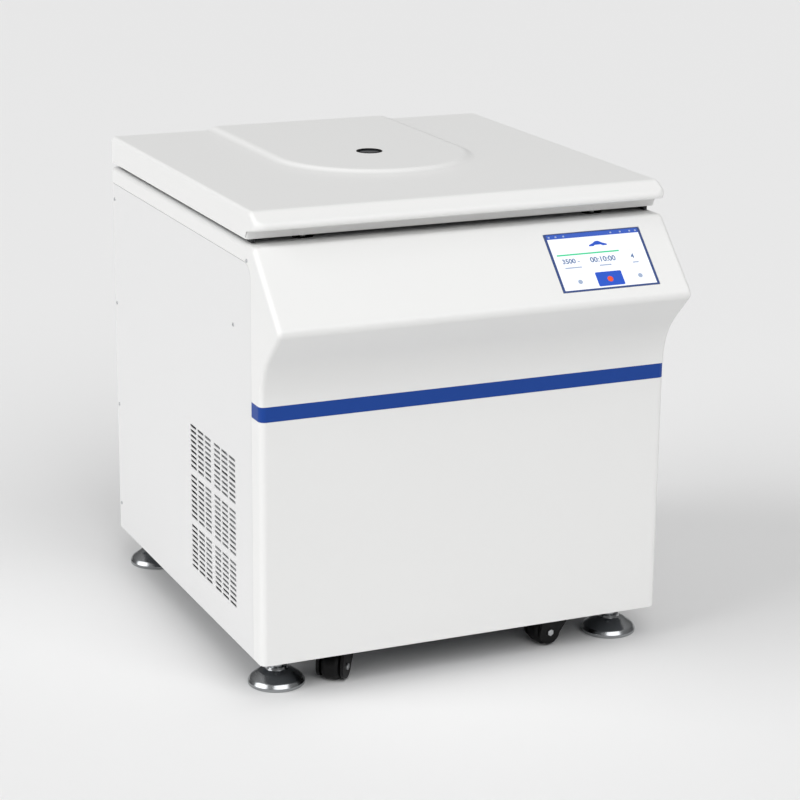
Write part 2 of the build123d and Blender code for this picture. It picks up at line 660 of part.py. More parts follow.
def pipe_holes(radius):
    """Radial holes for the two coil outlets."""
    high = COIL_LOW + (COIL_COUNT - 1) * COIL_PITCH
    holes = []
    for angle in PIPE_ANGLES:
        start = (*polar(COIL_RADIUS, angle), high)
        holes.append(rod(radius, start, (*polar(PIPE_DROP, angle), high)))
    return holes


def chamber_insulation():
    """Foam jacket with a floor, between the coil and the guard ring."""
    inner = BOWL_RADIUS + BOWL_WALL + 2 * COIL_TUBE
    top = UNDER_DECK - BOWL_WALL - 4
    floor = BOWL_FLOOR - BOWL_WALL
    slope = 0.75 * BOWL_CORNER
    hole = BOWL_HOLE + 14
    jacket = spun([
        (hole, FOAM_LOW), (INSULATION_OUTER, FOAM_LOW), (INSULATION_OUTER, top), (inner, top),
        (inner, floor + slope), (inner - slope, floor), (hole, floor),
    ])
    return jacket - pipe_holes(COIL_TUBE + FIT)


def guard_ring():
    steel = ring(GUARD_OUTER, GUARD_INNER, PLATFORM, UNDER_DECK - BOWL_WALL - 4)
    return steel - pipe_holes(COIL_TUBE + 2)


# ---------------------------------------------------------------- drive
def motor_housing():
    """Flanged motor shell with bearing seats, hung through the platform's hole."""
    r = MOTOR_RADIUS
    shell = spun([
        (BEARING_RADIUS, MOTOR_LOW), (r, MOTOR_LOW), (r, MOTOR_TOP), (r + 14, MOTOR_TOP),
        (r + 14, MOTOR_BODY_TOP), (BEARING_RADIUS + 6, MOTOR_BODY_TOP),
        (BEARING_RADIUS + 6, MOTOR_BODY_TOP + 20), (BEARING_RADIUS, MOTOR_BODY_TOP + 20),
        (BEARING_RADIUS, MOTOR_BODY_TOP - MOTOR_WALL), (r - MOTOR_WALL, MOTOR_BODY_TOP - MOTOR_WALL),
        (r - MOTOR_WALL, MOTOR_LOW + MOTOR_WALL), (BEARING_RADIUS, MOTOR_LOW + MOTOR_WALL),
    ])
    for i in range(4):
        angle = radians(45 + 90 * i)
        x, y = MOTOR_EAR * cos(angle), ROTOR_Y + MOTOR_EAR * sin(angle)
        ear = Rot(0, 0, 45 + 90 * i) * block((r, -12, 0), (MOTOR_EAR, 12, MOTOR_FLANGE))
        shell += Pos(0, ROTOR_Y, MOTOR_TOP) * ear
        shell += rod(MOUNT_RADIUS, (x, y, MOTOR_TOP), (x, y, MOTOR_BODY_TOP))
    return shell


def motor_mounts():
    mounts = []
    for i in range(4):
        angle = radians(45 + 90 * i)
        x, y = MOTOR_EAR * cos(angle), ROTOR_Y + MOTOR_EAR * sin(angle)
        mounts.append(rod(MOUNT_RADIUS - 1, (x, y, PLATFORM), (x, y, MOTOR_TOP)))
    return mounts


def motor_bearings():
    """A bearing at the shell's foot and one in the flange's neck."""
    inner = SHAFT_RADIUS + FIT
    rings = []
    for low in (MOTOR_LOW, MOTOR_BODY_TOP + 4):
        outer_high = low + (MOTOR_WALL if low == MOTOR_LOW else BEARING_WIDTH)
        rings.append(ring(BEARING_RADIUS, inner, low, outer_high))
    return rings


def shaft_boot():
    """Rubber bellows between the motor's neck and the bowl's shaft hole."""
    low = MOTOR_BODY_TOP
    r = BEARING_RADIUS + 6
    top = BOWL_FLOOR
    return spun([
        (r, low), (r + 3, low), (r + 3, low + 8), (r + 7, low + 11), (r + 3, low + 14),
        (r + 3, BOWL_FLOOR - BOWL_WALL), (BOWL_HOLE, BOWL_FLOOR - BOWL_WALL), (BOWL_HOLE, top + 3),
        (BOWL_HOLE - 3, top + 3), (BOWL_HOLE - 3, MOTOR_BODY_TOP + 20), (r, MOTOR_BODY_TOP + 20),
    ])


def drive_shaft():
    """Motor armature and shaft, with the threaded end that the knob screws on."""
    top = TRUNNION_Z + YOKE_THICK
    low = MOTOR_LOW - 6
    r = SHAFT_RADIUS
    drum_low = MOTOR_LOW + MOTOR_WALL + 34
    drum_high = MOTOR_BODY_TOP - MOTOR_WALL - 26
    tip = top + KNOB_HEIGHT - 8
    return spun([
        (0, low), (r, low), (r, drum_low), (ARMATURE_RADIUS, drum_low), (ARMATURE_RADIUS, drum_high),
        (r, drum_high), (r, top), (r / 2, top + 4), (r / 2, tip), (0, tip),
    ])


# ---------------------------------------------------------------- rotor
def yoke_arm():
    """One arm, at 45 degrees, with the two faces that carry trunnion pins."""
    low = -YOKE_THICK / 2
    web = Rot(0, 0, 45) * (Pos(HUB_RADIUS / 2 + 30, 0) * Rectangle(HUB_RADIUS + 60, 56))
    s, t = BUCKET_SIDE, YOKE_TIP
    head = make_face(Polyline((s, s), (t, s), (t, s + 28), (s + 28, t), (s, t), close=True))
    head = fillet(head.vertices().group_by(Axis.X)[-1] + head.vertices().group_by(Axis.Y)[-1], 6)
    middle = s + 0.4 * (t - s)
    shape = web + head - Pos(middle, middle) * Circle(19)
    arm = Pos(0, 0, low) * extrude(shape, YOKE_THICK)
    end = s - TRUNNION_LENGTH
    arm += rod(TRUNNION_PIN, (TRUNNION_REACH, s + 1, 0), (TRUNNION_REACH, end, 0))
    arm += rod(TRUNNION_PIN, (s + 1, TRUNNION_REACH, 0), (end, TRUNNION_REACH, 0))
    return arm


def rotor_head():
    """Four-armed yoke with a tapered hub and eight trunnion pins."""
    hub = spun([
        (SHAFT_RADIUS + FIT, -YOKE_THICK), (HUB_RADIUS - 8, -YOKE_THICK), (HUB_RADIUS, -YOKE_THICK / 2),
        (HUB_RADIUS, YOKE_THICK / 2), (HUB_RADIUS - 10, YOKE_THICK), (SHAFT_RADIUS + FIT, YOKE_THICK),
    ], y=0)
    body = hub
    for i in range(4):
        body += Rot(0, 0, 90 * i) * yoke_arm()
    body -= rod(SHAFT_RADIUS + FIT, (0, 0, -50), (0, 0, 50))
    return Pos(0, ROTOR_Y, TRUNNION_Z) * body


def rotor_knob():
    """Knurled knob that holds the rotor on its shaft."""
    low = TRUNNION_Z + YOKE_THICK + SNUG
    high = low + KNOB_HEIGHT
    knob = spun([(0, low), (KNOB_RADIUS - 4, low), (KNOB_RADIUS, low + 6), (KNOB_RADIUS, high - 4),
                 (KNOB_RADIUS - 4, high), (0, high)])
    for i in range(12):
        angle = radians(30 * i)
        x, y = (KNOB_RADIUS + 1.5) * cos(angle), ROTOR_Y + (KNOB_RADIUS + 1.5) * sin(angle)
        knob -= rod(3, (x, y, low), (x, y, high))
    neck = SHAFT_RADIUS / 2 + FIT
    top = TRUNNION_Z + YOKE_THICK
    wide = SHAFT_RADIUS + SNUG
    end = high - 6
    knob -= spun([(0, top), (wide, top), (wide, top + SNUG), (neck, top + 5), (neck, end), (0, end)])
    return knob


def bucket(index):
    """A round cup with two slotted lugs that hang on the yoke's pins."""
    r = BUCKET_RADIUS
    cup = Pos(0, 0, -BUCKET_BELOW) * extrude(Circle(r), BUCKET_BELOW + BUCKET_ABOVE)
    cup = fillet(cup.edges().group_by(Axis.Z)[0], 10)
    lip = Pos(0, 0, BUCKET_ABOVE - 6) * extrude(Circle(r + 2), 6)
    cup += lip
    for side in (-1, 1):
        ys = sorted((side * (r - 6), side * LUG_REACH))
        cup += block((-13, ys[0], -16), (13, ys[1], 16))
    hollow = Pos(0, 0, -BUCKET_BELOW + BUCKET_WALL + 1) * extrude(Circle(r - BUCKET_WALL), 200)
    cup -= fillet(hollow.edges().group_by(Axis.Z)[0], 8)
    pin = TRUNNION_PIN + FIT
    depth = BUCKET_SIDE - TRUNNION_LENGTH - SNUG
    for side in (-1, 1):
        ys = sorted((side * depth, side * (LUG_REACH + 1)))
        cup -= rod(pin, (0, ys[0], 0), (0, ys[1], 0))
        cup -= block((-pin, ys[0], -20), (pin, ys[1], 0))
    placed = Pos(TRUNNION_REACH, 0, 0) * cup
    return Pos(0, ROTOR_Y, TRUNNION_Z) * Rot(0, 0, 90 * index) * placed


# ---------------------------------------------------------------- lid
def lid_outline():
    top = LID_TOP
    nose = FRONT + LID_NOSE_BACK
    lip = FRONT + LID_LIP_BACK
    nose_z = top - LID_NOSE_DROP
    return [
        (BACK, LID_BOTTOM), (BACK, top), (FRONT + LID_TOP_BACK, top), (nose, nose_z),
        (nose + 3, nose_z - LID_NOSE_THICK), (lip - 1.5, LID_BOTTOM + LID_LIP_HEIGHT), (lip, LID_BOTTOM),
    ]


def lid_shell():
    """Outer moulding: flat top, sloped front with a nose, groove and lip, and the raised tongue."""
    points = lid_outline()
    face = make_face(Polyline(*points, close=True))
    face = round_corner(face, points[2], LID_TOP_RADIUS)
    body = extrude(Plane.YZ * face, HALF, both=True)
    for high, low, radius in ((3, 4, LID_CORNER), (5, 6, LIP_CORNER)):
        middle = (Vector(0, *points[high]) + Vector(0, *points[low])) / 2
        corners = [e for e in body.edges() if abs((e @ 0.5 - middle).length - HALF) < 0.01]
        body = fillet(corners, radius)
    body = fillet([e for e in body.edges() if is_lid_end(e)], LID_EDGE_RADIUS)
    body += lid_tongue()
    body -= lid_hollow()
    body -= rod(PORT_RADIUS + PORT_WALL, (0, ROTOR_Y, LID_BOTTOM), (0, ROTOR_Y, LID_TOP + 20))
    return body


def is_lid_end(edge):
    """True for the lid's side edges from the nose over the slope to the rear."""
    middle = edge @ 0.5
    at_end = abs(abs(middle.X) - HALF) < 0.01
    return at_end and middle.Z > LID_TOP - LID_NOSE_DROP + 0.5 and middle.Y < BACK - 0.1


def lid_hollow():
    """Space inside the lid's moulding."""
    w = LID_WALL
    lip = FRONT + LID_LIP_BACK
    nose = FRONT + LID_NOSE_BACK + 5.5 * w
    hollow = prism_x([
        (BACK - w, LID_BOTTOM - 1), (BACK - w, LID_TOP - w), (FRONT + LID_TOP_BACK + 4, LID_TOP - w),
        (nose, LID_TOP - LID_NOSE_DROP + 2), (nose, LID_TOP - LID_NOSE_DROP - 4),
        (lip + w, LID_BOTTOM + LID_LIP_HEIGHT + 2), (lip + w, LID_BOTTOM - 1),
    ], -HALF + w, HALF - w)
    ends = hollow.edges().filter_by(Axis.Y).group_by(Axis.Z)[-1]
    return fillet(ends, LID_EDGE_RADIUS - w)


def lid_tongue():
    """Raised plateau: a cone-edged disc over the chamber, run straight back to the rear edge."""
    top, foot = TONGUE_WIDTH / 2, TONGUE_WIDTH / 2 + TONGUE_SLOPE
    low, high = LID_TOP, LID_TOP + TONGUE_RISE
    disc = spun([(0, low - 1), (foot, low - 1), (foot, low), (top, high), (0, high)])
    section = make_face(Polyline((-foot, low - 1), (foot, low - 1), (foot, low), (top, high), (-top, high),
                                 (-foot, low), close=True))
    run = Pos(0, BACK, 0) * extrude(Plane.XZ * section, BACK - ROTOR_Y)
    return disc + run


def lid_plate():
    """Steel underside of the lid with the two strut brackets."""
    half = HALF - LID_WALL
    front = FRONT + LID_LIP_BACK + LID_WALL
    rear = BACK - LID_WALL
    plate = block((-half, front, LID_BOTTOM), (half, rear, LID_BOTTOM + LID_PLATE))
    plate -= rod(PORT_RADIUS + PORT_WALL, (0, ROTOR_Y, LID_BOTTOM - 1), (0, ROTOR_Y, LID_TOP))
    for side in (-1, 1):
        x, y = side * LOCK_SPREAD, FRONT + LOCK_BACK
        plate -= rod(STRIKER_RADIUS, (x, y, LID_BOTTOM - 1), (x, y, LID_TOP))
    y, z = STRUT_TOP
    wall = STUD_FACE - LID_WALL
    bracket = block((wall, y - 12, z), (STUD_FACE, y + 12, LID_BOTTOM))
    bracket += rod(12, (wall, y, z), (STUD_FACE, y, z))
    bracket += rod(STUD_RADIUS, (STUD_FACE, y, z), (STRUT_SPREAD - STRUT_END_WIDTH / 2 - SNUG, y, z))
    for piece in both_sides(bracket):
        plate += piece
    return plate


def lid_liner():
    """Insulated dish that closes the chamber's mouth."""
    low = LID_BOTTOM - LINER_DROP
    r = LINER_RADIUS
    return spun([
        (PORT_RADIUS + PORT_WALL, low), (r - 10, low), (r, low + 8), (r, LID_BOTTOM),
        (PORT_RADIUS + PORT_WALL, LID_BOTTOM),
    ])


def lid_gasket():
    """Rubber strip under the lid, round the mouth and inside the struts and the lock."""
    half = STUD_FACE - 2 * LID_WALL - GASKET_CLEAR
    front = FRONT + LOCK_BACK + BEZEL_WIDTH / 2 + GASKET_CLEAR
    rear = BACK - GASKET_CLEAR
    width, length = 2 * half, rear - front
    outer = RectangleRounded(width, length, 9)
    inner = RectangleRounded(width - 2 * GASKET_WIDTH, length - 2 * GASKET_WIDTH, 4)
    return Pos(0, (front + rear) / 2, DECK + SNUG) * extrude(outer - inner, LID_GAP - SNUG)


def port_tube():
    """Black sleeve of the viewing port, with a flange on the tongue."""
    low = LID_BOTTOM - LINER_DROP
    top = LID_TOP + TONGUE_RISE
    outer = PORT_RADIUS + PORT_WALL
    return spun([
        (PORT_RADIUS - 3, low), (outer, low), (outer, top), (outer + 1.5, top), (outer + 1.5, top + 0.8),
        (PORT_RADIUS, top + 0.8), (PORT_RADIUS, low + 8), (PORT_RADIUS - 3, low + 8),
    ])


def viewing_windows():
    """Clear discs at the top and the foot of the viewing port."""
    top = LID_TOP + TONGUE_RISE
    low = LID_BOTTOM - LINER_DROP + 8
    centre = (0, ROTOR_Y)
    return [
        rod(PORT_RADIUS, (*centre, top - 6), (*centre, top - 1)),
        rod(PORT_RADIUS, (*centre, low), (*centre, low + 4)),
    ]


def lid_strikers():
    """Two grooved pins that the lock bar catches."""
    pins = []
    for side in (-1, 1):
        x, y = side * LOCK_SPREAD, FRONT + LOCK_BACK
        low = LID_BOTTOM - STRIKER_LENGTH
        neck_low = LOCK_BAR_Z - STRIKER_NECK_HEIGHT / 2
        neck_high = LOCK_BAR_Z + STRIKER_NECK_HEIGHT / 2
        r, n = STRIKER_RADIUS, STRIKER_NECK
        top = LID_BOTTOM + LID_PLATE
        pins.append(spun([
            (0, low), (r - 2, low), (r, low + 3), (r, neck_low), (n, neck_low), (n, neck_high),
            (r, neck_high), (r, top), (r + 4, top), (r + 4, top + 3), (0, top + 3),
        ], x=x, y=y))
    return pins


# ---------------------------------------------------------------- hinges
def knuckle(x, start, end, leaf_side):
    """Barrel piece with the web that joins it to its leaf, above or below the axis."""
    barrel = rod(HINGE_BARREL, (x + start, HINGE_Y, HINGE_Z), (x + end, HINGE_Y, HINGE_Z))
    zs = sorted((HINGE_Z, HINGE_Z + leaf_side * HINGE_BARREL))
    return barrel + block((x + start, BACK, zs[0]), (x + end, HINGE_Y, zs[1]))


def hinge_leaf(x, leaf_side, spans, gaps):
    """A hinge leaf on the rear face, with knuckles at some spans and cut away at the others."""
    half = HINGE_LENGTH / 2
    face = LID_BOTTOM if leaf_side > 0 else DECK
    zs = sorted((face, face + leaf_side * HINGE_LEAF_HEIGHT))
    leaf = block((x - half, BACK, zs[0]), (x + half, BACK + HINGE_LEAF, zs[1]))
    for start, end in gaps:
        low, high = (BACK - 1, HINGE_Z - HINGE_BARREL - 1), (HINGE_Y + 9, HINGE_Z + HINGE_BARREL + 1)
        leaf -= block((x + start, *low), (x + end, *high))
    for start, end in spans:
        leaf += knuckle(x, start, end, leaf_side)
    bore = HINGE_PIN + (FIT if leaf_side > 0 else 0)
    return leaf - rod(bore, (x - half - 1, HINGE_Y, HINGE_Z), (x + half + 1, HINGE_Y, HINGE_Z))


def cabinet_hinges():
    """Fixed leaves, each with its middle knuckle and the pin."""
    half, third = HINGE_LENGTH / 2, HINGE_LENGTH / 6
    gaps = [(-half - 1, -third), (third, half + 1)]
    parts = []
    for x in (-HINGE_SPREAD, HINGE_SPREAD):
        parts.append(hinge_leaf(x, -1, [(-third, third)], gaps))
        end = half + 1.5
        parts.append(rod(HINGE_PIN, (x - end, HINGE_Y, HINGE_Z), (x + end, HINGE_Y, HINGE_Z)))
    return parts


def lid_hinges():
    """Moving leaves, each with its two outer knuckles."""
    half, third = HINGE_LENGTH / 2, HINGE_LENGTH / 6
    spans = [(-half, -third - SNUG), (third + SNUG, half)]
    gaps = [(-third - SNUG, third + SNUG)]
    return [hinge_leaf(x, 1, spans, gaps) for x in (-HINGE_SPREAD, HINGE_SPREAD)]


# ---------------------------------------------------------------- gas struts
def strut_frame():
    """Foot, unit direction and length of the shut strut, in Y and Z."""
    dy, dz = STRUT_TOP[0] - STRUT_FOOT[0], STRUT_TOP[1] - STRUT_FOOT[1]
    length = sqrt(dy * dy + dz * dz)
    return (dy / length, dz / length), length


def along(x, distance):
    """A point on the strut's line, at a distance from its foot."""
    direction, length = strut_frame()
    return (x, STRUT_FOOT[0] + direction[0] * distance, STRUT_FOOT[1] + direction[1] * distance)


def strut_rods():
    """Chromed rods with the lower eyes and the pistons."""
    length = strut_frame()[1]
    x = STRUT_SPREAD
    y, z = STRUT_FOOT
    half = STRUT_END_WIDTH / 2
    eye = rod(STRUT_END, (x - half, y, z), (x + half, y, z))
    stem = rod(STRUT_ROD, along(x, 5), along(x, length - 26))
    piston = rod(STRUT_BODY - 2, along(x, length - 32), along(x, length - 26))
    part = eye + stem + piston - rod(STUD_RADIUS + FIT, (x - half - 1, y, z), (x + half + 1, y, z))
    return both_sides(part)


def strut_cylinders():
    """Gas-spring bodies with the upper sockets."""
    length = strut_frame()[1]
    x = STRUT_SPREAD
    y, z = STRUT_TOP
    half = STRUT_END_WIDTH / 2
    body = rod(STRUT_BODY, along(x, STRUT_GLAND), along(x, length - 14))
    body += rod(STRUT_END - 2, along(x, length - 16), along(x, length))
    body += rod(STRUT_END, (x - half, y, z), (x + half, y, z))
    body -= rod(STRUT_BODY - 1.5, along(x, STRUT_GLAND + 8), along(x, length - 20))
    body -= rod(STRUT_ROD + FIT, along(x, STRUT_GLAND - 1), along(x, STRUT_GLAND + 9))
    return both_sides(body)


# ---------------------------------------------------------------- lid lock
def lock_bezels():
    """Black oval frames in the deck round the striker openings."""
    frames = []
    for side in (-1, 1):
        rim = SlotOverall(BEZEL_LENGTH, BEZEL_WIDTH)
        neck = SlotOverall(BEZEL_LENGTH - 4, BEZEL_WIDTH - 4)
        hole = SlotOverall(BEZEL_LENGTH - 6, BEZEL_WIDTH - 6)
        frame = Pos(0, 0, DECK) * extrude(rim - hole, 1.2)
        frame += Pos(0, 0, UNDER_DECK - 4) * extrude(neck - hole, DECK - UNDER_DECK + 4)
        frames.append(Pos(side * LOCK_SPREAD, FRONT + LOCK_BACK, 0) * frame)
    return frames


def lock_bar():
    """Sliding bar with a keyhole for each striker."""
    reach = LOCK_SPREAD + 34
    half_w, half_t = LOCK_BAR_WIDTH / 2, LOCK_BAR_THICK / 2
    y = FRONT + LOCK_BACK
    bar = block((-reach, y - half_w, LOCK_BAR_Z - half_t), (reach, y + half_w, LOCK_BAR_Z + half_t))
    bar = fillet(bar.edges().filter_by(Axis.Z), 6)
    for side in (-1, 1):
        x = side * LOCK_SPREAD
        slot = STRIKER_NECK + 0.5
        bar -= rod(STRIKER_RADIUS + 3, (x, y, LOCK_BAR_Z - 5), (x, y, LOCK_BAR_Z + 5))
        bar -= block((x - LOCK_TRAVEL - slot, y - slot, LOCK_BAR_Z - 5), (x, y + slot, LOCK_BAR_Z + 5))
    bar -= block((-LOCK_TRAVEL - 8, y - 4, LOCK_BAR_Z - 5), (8, y + 4, LOCK_BAR_Z + 5))
    return bar


def lock_actuator():
    """Gear motor hung under the front rail, its crank stud in the bar's slot, and two guides."""
    y = FRONT + LOCK_BACK
    high = LOCK_BAR_Z - LOCK_BAR_THICK / 2 - 3
    housing = block((-34, y - 26, high - 38), (34, y + 26, high))
    housing = fillet(housing.edges().filter_by(Axis.Z), 5)
    housing += rod(15, (34, y, high - 19), (84, y, high - 19))
    housing += block((-20, y - 26, high - 10), (20, y - 18, RAIL_TOP - FRAME_TUBE))
    housing += rod(4 - SNUG, (0, y, high - 1), (0, y, LOCK_BAR_Z + 4))
    return [housing] + [lock_guide(x) for x in (-150, 150)]


def lock_guide(x):
    """Bracket on the rail's back face with a slot for the bar."""
    y = FRONT + LOCK_BACK
    slot = LOCK_BAR_WIDTH / 2 + SNUG
    low = LOCK_BAR_Z - LOCK_BAR_THICK / 2
    high = LOCK_BAR_Z + LOCK_BAR_THICK / 2
    rail = FRONT_RAIL_Y + FRAME_TUBE / 2
    guide = block((x - 9, rail, low - 6), (x + 9, y + 20, RAIL_TOP - FRAME_TUBE / 2))
    return guide - block((x - 10, y - slot, low - SNUG), (x + 10, y + slot, high + SNUG))


# ---------------------------------------------------------------- screen
def touch_screen():
    glass = extrude(console_plane() * RectangleRounded(SCREEN_WIDTH, SCREEN_HEIGHT, 2), -SCREEN_THICK)
    return glass


def display_housing():
    plane = console_plane(lift=-SCREEN_THICK)
    box = extrude(plane * RectangleRounded(SCREEN_WIDTH - 8, SCREEN_HEIGHT - 8, 3), -DISPLAY_DEPTH)
    rim = plane * (Pos(0, 0, -1) * Box(SCREEN_WIDTH + 16, SCREEN_HEIGHT + 16, 2))
    return box + rim


# ---------------------------------------------------------------- services behind the panels
def power_place():
    return HALF - POWER_SIDE, BOTTOM + POWER_HEIGHT


def power_opening():
    x, z = power_place()
    return block((x - 32, BACK - 8, z - 42), (x + 32, BACK + 8, z + 42))


def power_entry():
    """Frame on the rear panel with the rocker's well above a recessed mains inlet."""
    x, z = power_place()
    frame = block((x - 38, BACK, z - 48), (x + 38, BACK + 3, z + 48))
    frame += block((x - 31, BACK - 40, z - 41), (x + 31, BACK, z + 41))
    frame -= block((x - 14, BACK - 20, z + 8), (x + 14, BACK + 4, z + 38))
    inlet = block((x - 17, BACK - 22, z - 36), (x + 17, BACK + 4, z - 10))
    frame -= fillet(inlet.edges().filter_by(Axis.Y).group_by(Axis.Z)[0], 6)
    for dx in (-9, 0, 9):
        frame += block((x + dx - 1.5, BACK - 23, z - 26), (x + dx + 1.5, BACK - 6, z - 18))
    frame += rod(2.5, (x - 14.5, BACK - 6, z + 23), (x - 12.5, BACK - 6, z + 23))
    frame += rod(2.5, (x + 12.5, BACK - 6, z + 23), (x + 14.5, BACK - 6, z + 23))
    return frame


def mains_rocker():
    """Rocker on two side pivots, tipped at rest so that its lower half is pressed."""
    x, z = power_place()
    z += 23
    y = BACK - 6
    points = [(y - 8, z - 9), (y + 5, z - 13), (y + 7, z), (y + 9, z + 12), (y - 8, z + 9)]
    body = prism_x(points, x - 13.5, x + 13.5)
    return body - rod(2.5 + FIT, (x - 15, y, z), (x + 15, y, z))


def spigot_place():
    return SPIGOT_SIDE - HALF, BOTTOM + SPIGOT_HEIGHT


def condensate_spigot():
    """Hose spigot for condensed water, with a collar outside and its nut plate inside."""
    x, z = spigot_place()
    wall = BACK - PANEL_WALL
    pipe = tube(SPIGOT_RADIUS, 4.0, (x, wall, z), (x, BACK + SPIGOT_LENGTH, z))
    plate = tube(14, 4.0, (x, wall - 4, z), (x, wall, z))
    collar = tube(SPIGOT_RADIUS + 4, 4.0, (x, BACK, z), (x, BACK + SPIGOT_COLLAR, z))
    return pipe + plate + collar


def compressor():
    """Hermetic can on a foot plate with four rubber feet."""
    x, y = COMPRESSOR_PLACE
    low = PAN_BOTTOM + PAN_WALL
    top = low + COMPRESSOR_HEIGHT
    r = COMPRESSOR_RADIUS
    can = spun([
        (0, low + 14), (r - 16, low + 14), (r, low + 34), (r, low + 96), (r + 4, low + 98),
        (r + 4, low + 104), (r, low + 106), (r, top - 34), (r - 18, top - 8), (10, top), (0, top),
    ], x=x, y=y)
    can += block((x - 84, y - 62, low + 10), (x + 84, y + 62, low + 14.5))
    for dx, dy in ((-70, -48), (70, -48), (-70, 48), (70, 48)):
        can += rod(11, (x + dx, y + dy, low), (x + dx, y + dy, low + 11))
    stub = low + 105
    return can + block((x + 22, y + 60, stub - 8), (x + 38, y + 76, stub + 8))


def condenser():
    """Tube-and-fin block behind the left louvres, on two side plates."""
    x0 = CONDENSER_SIDE - HALF
    y0, y1 = FRONT + CONDENSER_FRONT, FRONT + CONDENSER_REAR
    z0, z1 = BOTTOM + CONDENSER_LIFT, CONDENSER_TOP
    core = block((x0 + 4, y0 + 3, z0), (x0 + 38, y1 - 3, z1))
    for i in range(12):
        z = z0 + 14 + i * (z1 - z0 - 28) / 11
        core -= block((x0, y0 + 8, z - 2.5), (x0 + 8, y1 - 8, z + 2.5))
    for y in (y0, y1 - 6):
        core += block((x0, y, PAN_BOTTOM + PAN_WALL), (x0 + 42, y + 6, z1))
    return core


def fan_place():
    """Middle of the fan, on the condenser's middle."""
    return FAN_SIDE - HALF, FRONT + FAN_BACK, (BOTTOM + CONDENSER_LIFT + CONDENSER_TOP) / 2


def fan_shroud():
    """Plate with the fan's ring, four spokes and the fan's motor."""
    x, y, z = fan_place()
    half = FAN_RADIUS + FAN_FRAME - 1
    plate = block((x - 4, y - half, PAN_BOTTOM + PAN_WALL), (x, y + half, z + half + 16))
    plate -= rod(FAN_RADIUS + 5, (x - 5, y, z), (x + 1, y, z))
    plate += tube(FAN_RADIUS + 8, FAN_RADIUS + 5, (x - 4, y, z), (x + 34, y, z))
    motor = rod(30, (x + 42, y, z), (x + 92, y, z))
    for angle in (45, 135, 225, 315):
        dy, dz = cos(radians(angle)), sin(radians(angle))
        reach = FAN_RADIUS + 6
        motor += rod(3, (x + 50, y + 20 * dy, z + 20 * dz), (x + 50, y + reach * dy, z + reach * dz))
        motor += rod(3, (x + 30, y + (reach + 0.5) * dy, z + (reach + 0.5) * dz),
                     (x + 52, y + (reach + 0.5) * dy, z + (reach + 0.5) * dz))
    spindle = rod(3, (x + 20, y, z), (x + 44, y, z))
    return plate + motor + spindle


def fan_blades():
    x, y, z = fan_place()
    hub = tube(28, 3 + FIT, (x + 8, y, z), (x + 36, y, z))
    for i in range(FAN_BLADES):
        blade = Pos(0, 0, (FAN_RADIUS + 24) / 2) * Rot(0, 0, 32) * Box(2.2, 40, FAN_RADIUS - 24)
        hub += Pos(x + 22, y, z) * Rot(360 * i / FAN_BLADES, 0, 0) * blade
    return hub


def inverter_box():
    """Motor drive with its heat-sink fins, at the front right of the base."""
    low = PAN_BOTTOM + PAN_WALL
    x0, y0 = HALF - INVERTER_SIDE - INVERTER_WIDTH, FRONT + INVERTER_BACK
    y1, high = y0 + INVERTER_DEPTH, low + INVERTER_HEIGHT
    box = block((x0, y0, low), (x0 + INVERTER_WIDTH, y1, high))
    box = fillet(box.edges().filter_by(Axis.Z), 3)
    for i in range(11):
        x = x0 + 12 + i * 18
        box += block((x, y1 - 2, low + 20), (x + 4, y1 + 22, high - 20))
    return box


def refrigerant_pipes():
    """Copper pipes: compressor to condenser, condenser to coil and coil to compressor."""
    high = COIL_LOW + (COIL_COUNT - 1) * COIL_PITCH
    can_x, can_y = COMPRESSOR_PLACE
    can_top = PAN_BOTTOM + PAN_WALL + COMPRESSOR_HEIGHT
    side_x, side_y = -HALF + 30, FRONT + CONDENSER_REAR
    lift = can_top + 46
    near, far = [polar(PIPE_DROP, angle) for angle in PIPE_ANGLES]
    start = [polar(COIL_RADIUS + 2 * COIL_TUBE, angle) for angle in PIPE_ANGLES]
    low = BOTTOM + 70
    routes = [
        [(can_x, can_y, can_top), (can_x, can_y, lift), (side_x, can_y, lift), (side_x, side_y, lift)],
        [(side_x, side_y, low), (side_x, can_y + 120, low), (*near, low), (*near, high), (*start[0], high)],
        [(can_x + 30, can_y + 76, low + 40), (can_x + 30, far[1], low + 40), (*far, low + 40),
         (*far, high), (*start[1], high)],
    ]
    pipes = []
    for points in routes:
        path = FilletPolyline(*points, radius=9)
        section = Plane(origin=path @ 0, z_dir=path % 0) * Circle(COIL_TUBE)
        pipes.append(sweep(section, path))
    return pipes


# ---------------------------------------------------------------- feet and casters
def levelling_foot(place):
    """Bell-shaped pad and threaded stem with a lock nut."""
    x, y = FOOT_PLACES[place]
    r = FOOT_RADIUS
    pad = spun([
        (0, 0), (r - 1.5, 0), (r, 1.5), (r, 5), (r - 3, 8), (24, 27), (18, 31), (13, 31), (13, 37), (0, 37),
    ], x=x, y=y)
    stem_top = PAN_BOTTOM + PAN_RIM + FOOT_TRAVEL + 8
    stem = rod(STEM_RADIUS, (x, y, 37), (x, y, stem_top))
    nut = extrude(Pos(x, y, 42) * RegularPolygon(13, 6), 10)
    return [pad, stem + nut]


def caster_outline(trail):
    """Side outline of a fork cheek: from the head plate down to the axle."""
    top = fork_top()
    slope = [(-16, top), (16, top), (trail + 9, WHEEL_Z + 2), (trail, WHEEL_Z - 9), (trail - 9, WHEEL_Z - 2)]
    shape = make_face(Polyline(*slope, close=True))
    return shape + Pos(trail, WHEEL_Z) * Circle(9)


def fork_top():
    """Underside of the caster's head disc."""
    return BOTTOM - 1 - SNUG - 4


